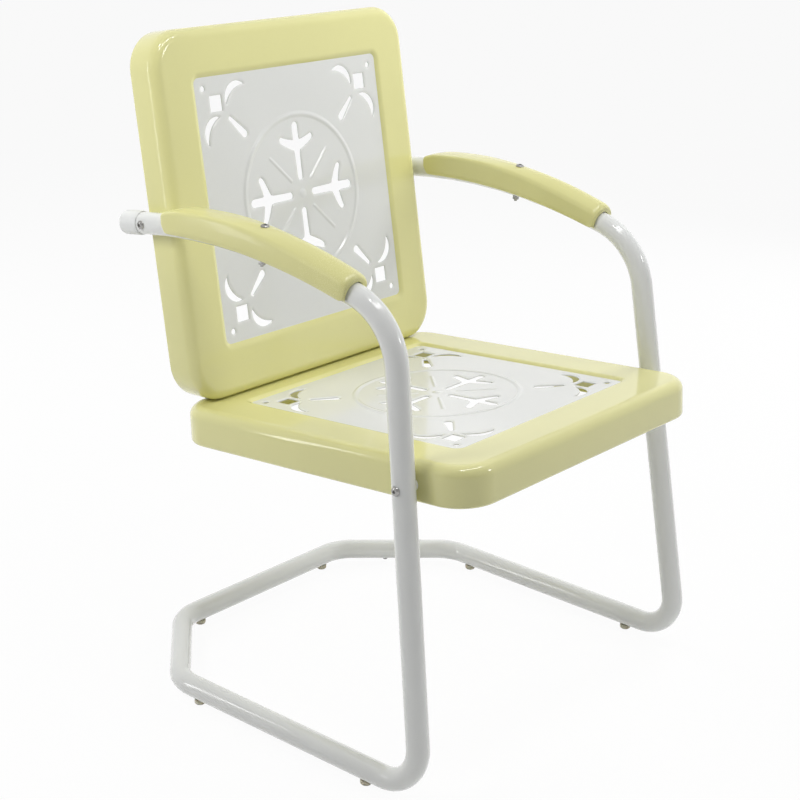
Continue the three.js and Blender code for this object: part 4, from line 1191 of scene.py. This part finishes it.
def saddle_point(x, y, z):
    """Where a point of the straight saddle goes: crowned, with a round front and a lowered nose."""
    in_channel = math.hypot(x, z) < SADDLE_BORE + ON_BORE
    front_fall = rounded_fall(1 - y / FRONT_ROUND)
    nose_fall = rounded_fall((y - ARMREST_LENGTH + NOSE_LENGTH) / NOSE_LENGTH)
    rear = max(0, 1 - (ARMREST_LENGTH - y) / REAR_CUT)
    lowest = -SADDLE_DROP + 2 * SADDLE_DROP * rear * rear
    if in_channel:
        mouth = max(0, 1 - y / MOUTH_LENGTH)
        grow = 1 + MOUTH_FLARE * mouth * mouth
        return x * grow, max(z, lowest) * grow
    above = max(0, z / SADDLE_TOP)
    crown = crown_height(y)
    arch = arch_share(y) * (TOP_LIFT - TOP_ARCH * (x / SADDLE_HALF) ** 2)
    x *= 1 - FRONT_TAPER * front_fall - (1 - NOSE_HALF / SADDLE_HALF) * nose_fall
    z += above * (crown + arch - FRONT_FALL * front_fall - NOSE_DROP * nose_fall)
    return x, max(z, lowest + FRONT_RISE * front_fall)


def bend_onto_arm(shape, at):
    """Carries each point of a straight saddle to the same place along, across and above the arm."""
    for vert in shape.verts:
        x, y, z = vert.co
        across, above = saddle_point(x, y, z)
        point, forward = arm_place(at, y)
        up = forward.cross(Vector((1, 0, 0))).normalized()
        vert.co = point + forward.cross(up).normalized() * across + up * above


for name, at in corners.items():
    shape = saddle_shape()
    bend_onto_arm(shape, at)
    bmesh.ops.recalc_face_normals(shape, faces=shape.faces)
    rest = add_piece(f"{name}_arm_pad", shape, armrest_plastic, 50)
    settle(rest, "upper", "armrest_plastic", f"{name}_armrest")
    print(rest.name, len(rest.data.polygons), "faces")

# %% [markdown]
# ## Screws, nuts and spacers
#
# Button head screws hold the chair together. A button head is a low dome with a hexagonal
# socket for the key. The dome comes off the lathe and the socket is cut out with a six-sided
# prism. The nuts under the arms are hexagons with bevelled corners.

# %% Button heads
def hexagon(across_flats, low, high):
    """A six-sided prism round +Z."""
    shape = bmesh.new()
    bmesh.ops.create_circle(shape, cap_ends=True, radius=across_flats / math.sqrt(3), segments=6,
                            matrix=Matrix.Translation((0, 0, low)))
    grown = bmesh.ops.extrude_face_region(shape, geom=list(shape.faces))["geom"]
    bmesh.ops.translate(shape, verts=verts_of(grown), vec=(0, 0, high - low))
    bmesh.ops.recalc_face_normals(shape, faces=shape.faces)
    return shape


HEAD_RIM = 0.25 * MM
SHANK_CHAMFER = 0.4 * MM
SOCKET_FLOOR = 0.35


def button_screw(shank, head, height, length, socket):
    """A button head screw with the underside of its head at zero, pointing down -Z."""
    profile = [(0, -length), (shank - SHANK_CHAMFER, -length), (shank, -length + SHANK_CHAMFER)]
    profile += [(shank, 0), (head - HEAD_RIM, 0), (head, HEAD_RIM)]
    for degrees in range(12, 66, 9):
        angle = math.radians(degrees)
        profile.append((head * math.cos(angle), mix(HEAD_RIM, height, math.sin(angle))))
    profile.append((0, height))
    dome = as_mesh("dome", lathe(profile, 36))
    return carved(dome, as_mesh("socket", hexagon(socket, height * SOCKET_FLOOR, height * 2)))


SCREW_FROM_FRONT = 147 * MM
HEAD_GAP = 0.05 * MM
SCREW_SIZES = {
    "seat_bolt": (3, 5.75, 3.4, 4),
    "back_bolt": (3, 5.75, 3.4, 4),
    "armrest_screw": (2.5, 5.6, 3.0, 4),
}
for name, at in corners.items():
    point, forward = arm_place(at, SCREW_FROM_FRONT)
    arm_up = forward.cross(Vector((1, 0, 0))).normalized()
    pad_height = SADDLE_RIDGE + crown_height(SCREW_FROM_FRONT) + TOP_LIFT * arch_share(SCREW_FROM_FRONT)
    out = Vector((SIDES[name], 0, 0))
    heads = {
        "seat_bolt": (at["seat_bolt"] + out * (TUBE_RADIUS + HEAD_GAP), out),
        "back_bolt": (at["back_bolt"] + out * (TUBE_RADIUS + HEAD_GAP), out),
        "armrest_screw": (point + arm_up * pad_height, arm_up),
    }
    for kind, (shank, head, height, socket) in SCREW_SIZES.items():
        low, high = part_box(f"{name}_{kind}")
        spot, direction = heads[kind]
        length = abs((high - low).dot(direction)) - height * MM
        mesh = button_screw(shank * MM, head * MM, height * MM, length, socket * MM)
        mesh.transform(aimed(spot, direction))
        mesh.shade_smooth()
        mesh.set_sharp_from_angle(angle=math.radians(32))
        mesh.materials.clear()
        mesh.materials.append(zinc_steel)
        screw = add_object(f"{name}_{kind}_button", mesh)
        settle(screw, "upper", "zinc_steel", f"{name}_{kind}")
print("six button head screws")

# %% Nuts under the armrests
NUT_FLATS = 8.4 * MM
NUT_HEIGHT = 5 * MM
NUT_BEVEL = 0.5 * MM
SCREW_TIP = 2.6 * MM
TIP_RADIUS, TIP_END_RADIUS = 2.4 * MM, 2 * MM
NUT_SINK = 0.1 * MM
for name, at in corners.items():
    point, forward = arm_place(at, SCREW_FROM_FRONT)
    under = -forward.cross(Vector((1, 0, 0))).normalized()
    nut = hexagon(NUT_FLATS, 0, NUT_HEIGHT)
    bmesh.ops.bevel(nut, geom=list(nut.verts) + list(nut.edges), offset=NUT_BEVEL,
                    offset_type="OFFSET", segments=2, profile=0.5, affect="EDGES", material=-1)
    tip = bmesh.ops.create_cone(nut, cap_ends=True, segments=24, radius1=TIP_RADIUS,
                                radius2=TIP_END_RADIUS, depth=SCREW_TIP)["verts"]
    bmesh.ops.translate(nut, verts=tip, vec=(0, 0, NUT_HEIGHT + SCREW_TIP / 2))
    start = point + under * (TUBE_RADIUS - NUT_SINK)
    bmesh.ops.transform(nut, matrix=aimed(start, under), verts=nut.verts)
    piece = add_piece(f"{name}_arm_nut_hex", nut, zinc_steel)
    settle(piece, "upper", "zinc_steel", f"{name}_armrest_nut")

# %% Spacers
SPACER_LENGTHS = {"seat": 2.6 * MM, "back": 3.5 * MM}
SPACER_RADIUS = 8 * MM
SPACER_BORE = 3.3 * MM
SPACER_EDGE = 0.6 * MM
SPACER_GAP = 0.1 * MM
SPACER_INTO_TUBE = 4 * MM
for name, at in corners.items():
    out = Vector((SIDES[name], 0, 0))
    for kind, length in SPACER_LENGTHS.items():
        inner = at[f"{kind}_bolt"] - out * (TUBE_RADIUS + length - SPACER_GAP)
        reach = length + SPACER_INTO_TUBE
        profile = [(SPACER_BORE, 0), (SPACER_RADIUS - SPACER_EDGE, 0), (SPACER_RADIUS, SPACER_EDGE),
                   (SPACER_RADIUS, reach), (SPACER_BORE, reach), (SPACER_BORE, 0)]
        shape = lathe(profile, 36)
        bmesh.ops.transform(shape, matrix=aimed(inner, out), verts=shape.verts)
        spacer = add_piece(f"{name}_{kind}_stand_off", shape, white_plastic)
        settle(spacer, "upper", "white_plastic", f"{name}_{kind}_spacer")
print("four spacers")

# %% [markdown]
# ## Hidden fasteners
#
# The washers, nuts, tie bolts and joint screws keep their CAD shapes. They only need the
# right finish, so their objects get the zinc or the white plastic.

# %% Finishes for the CAD nodes that stay
for name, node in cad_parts.items():
    if node.hide_render:
        continue
    finish = white_plastic if name.endswith("spacer") else zinc_steel
    node.data.materials.clear()
    node.data.materials.append(finish)
    print(name, finish.name)
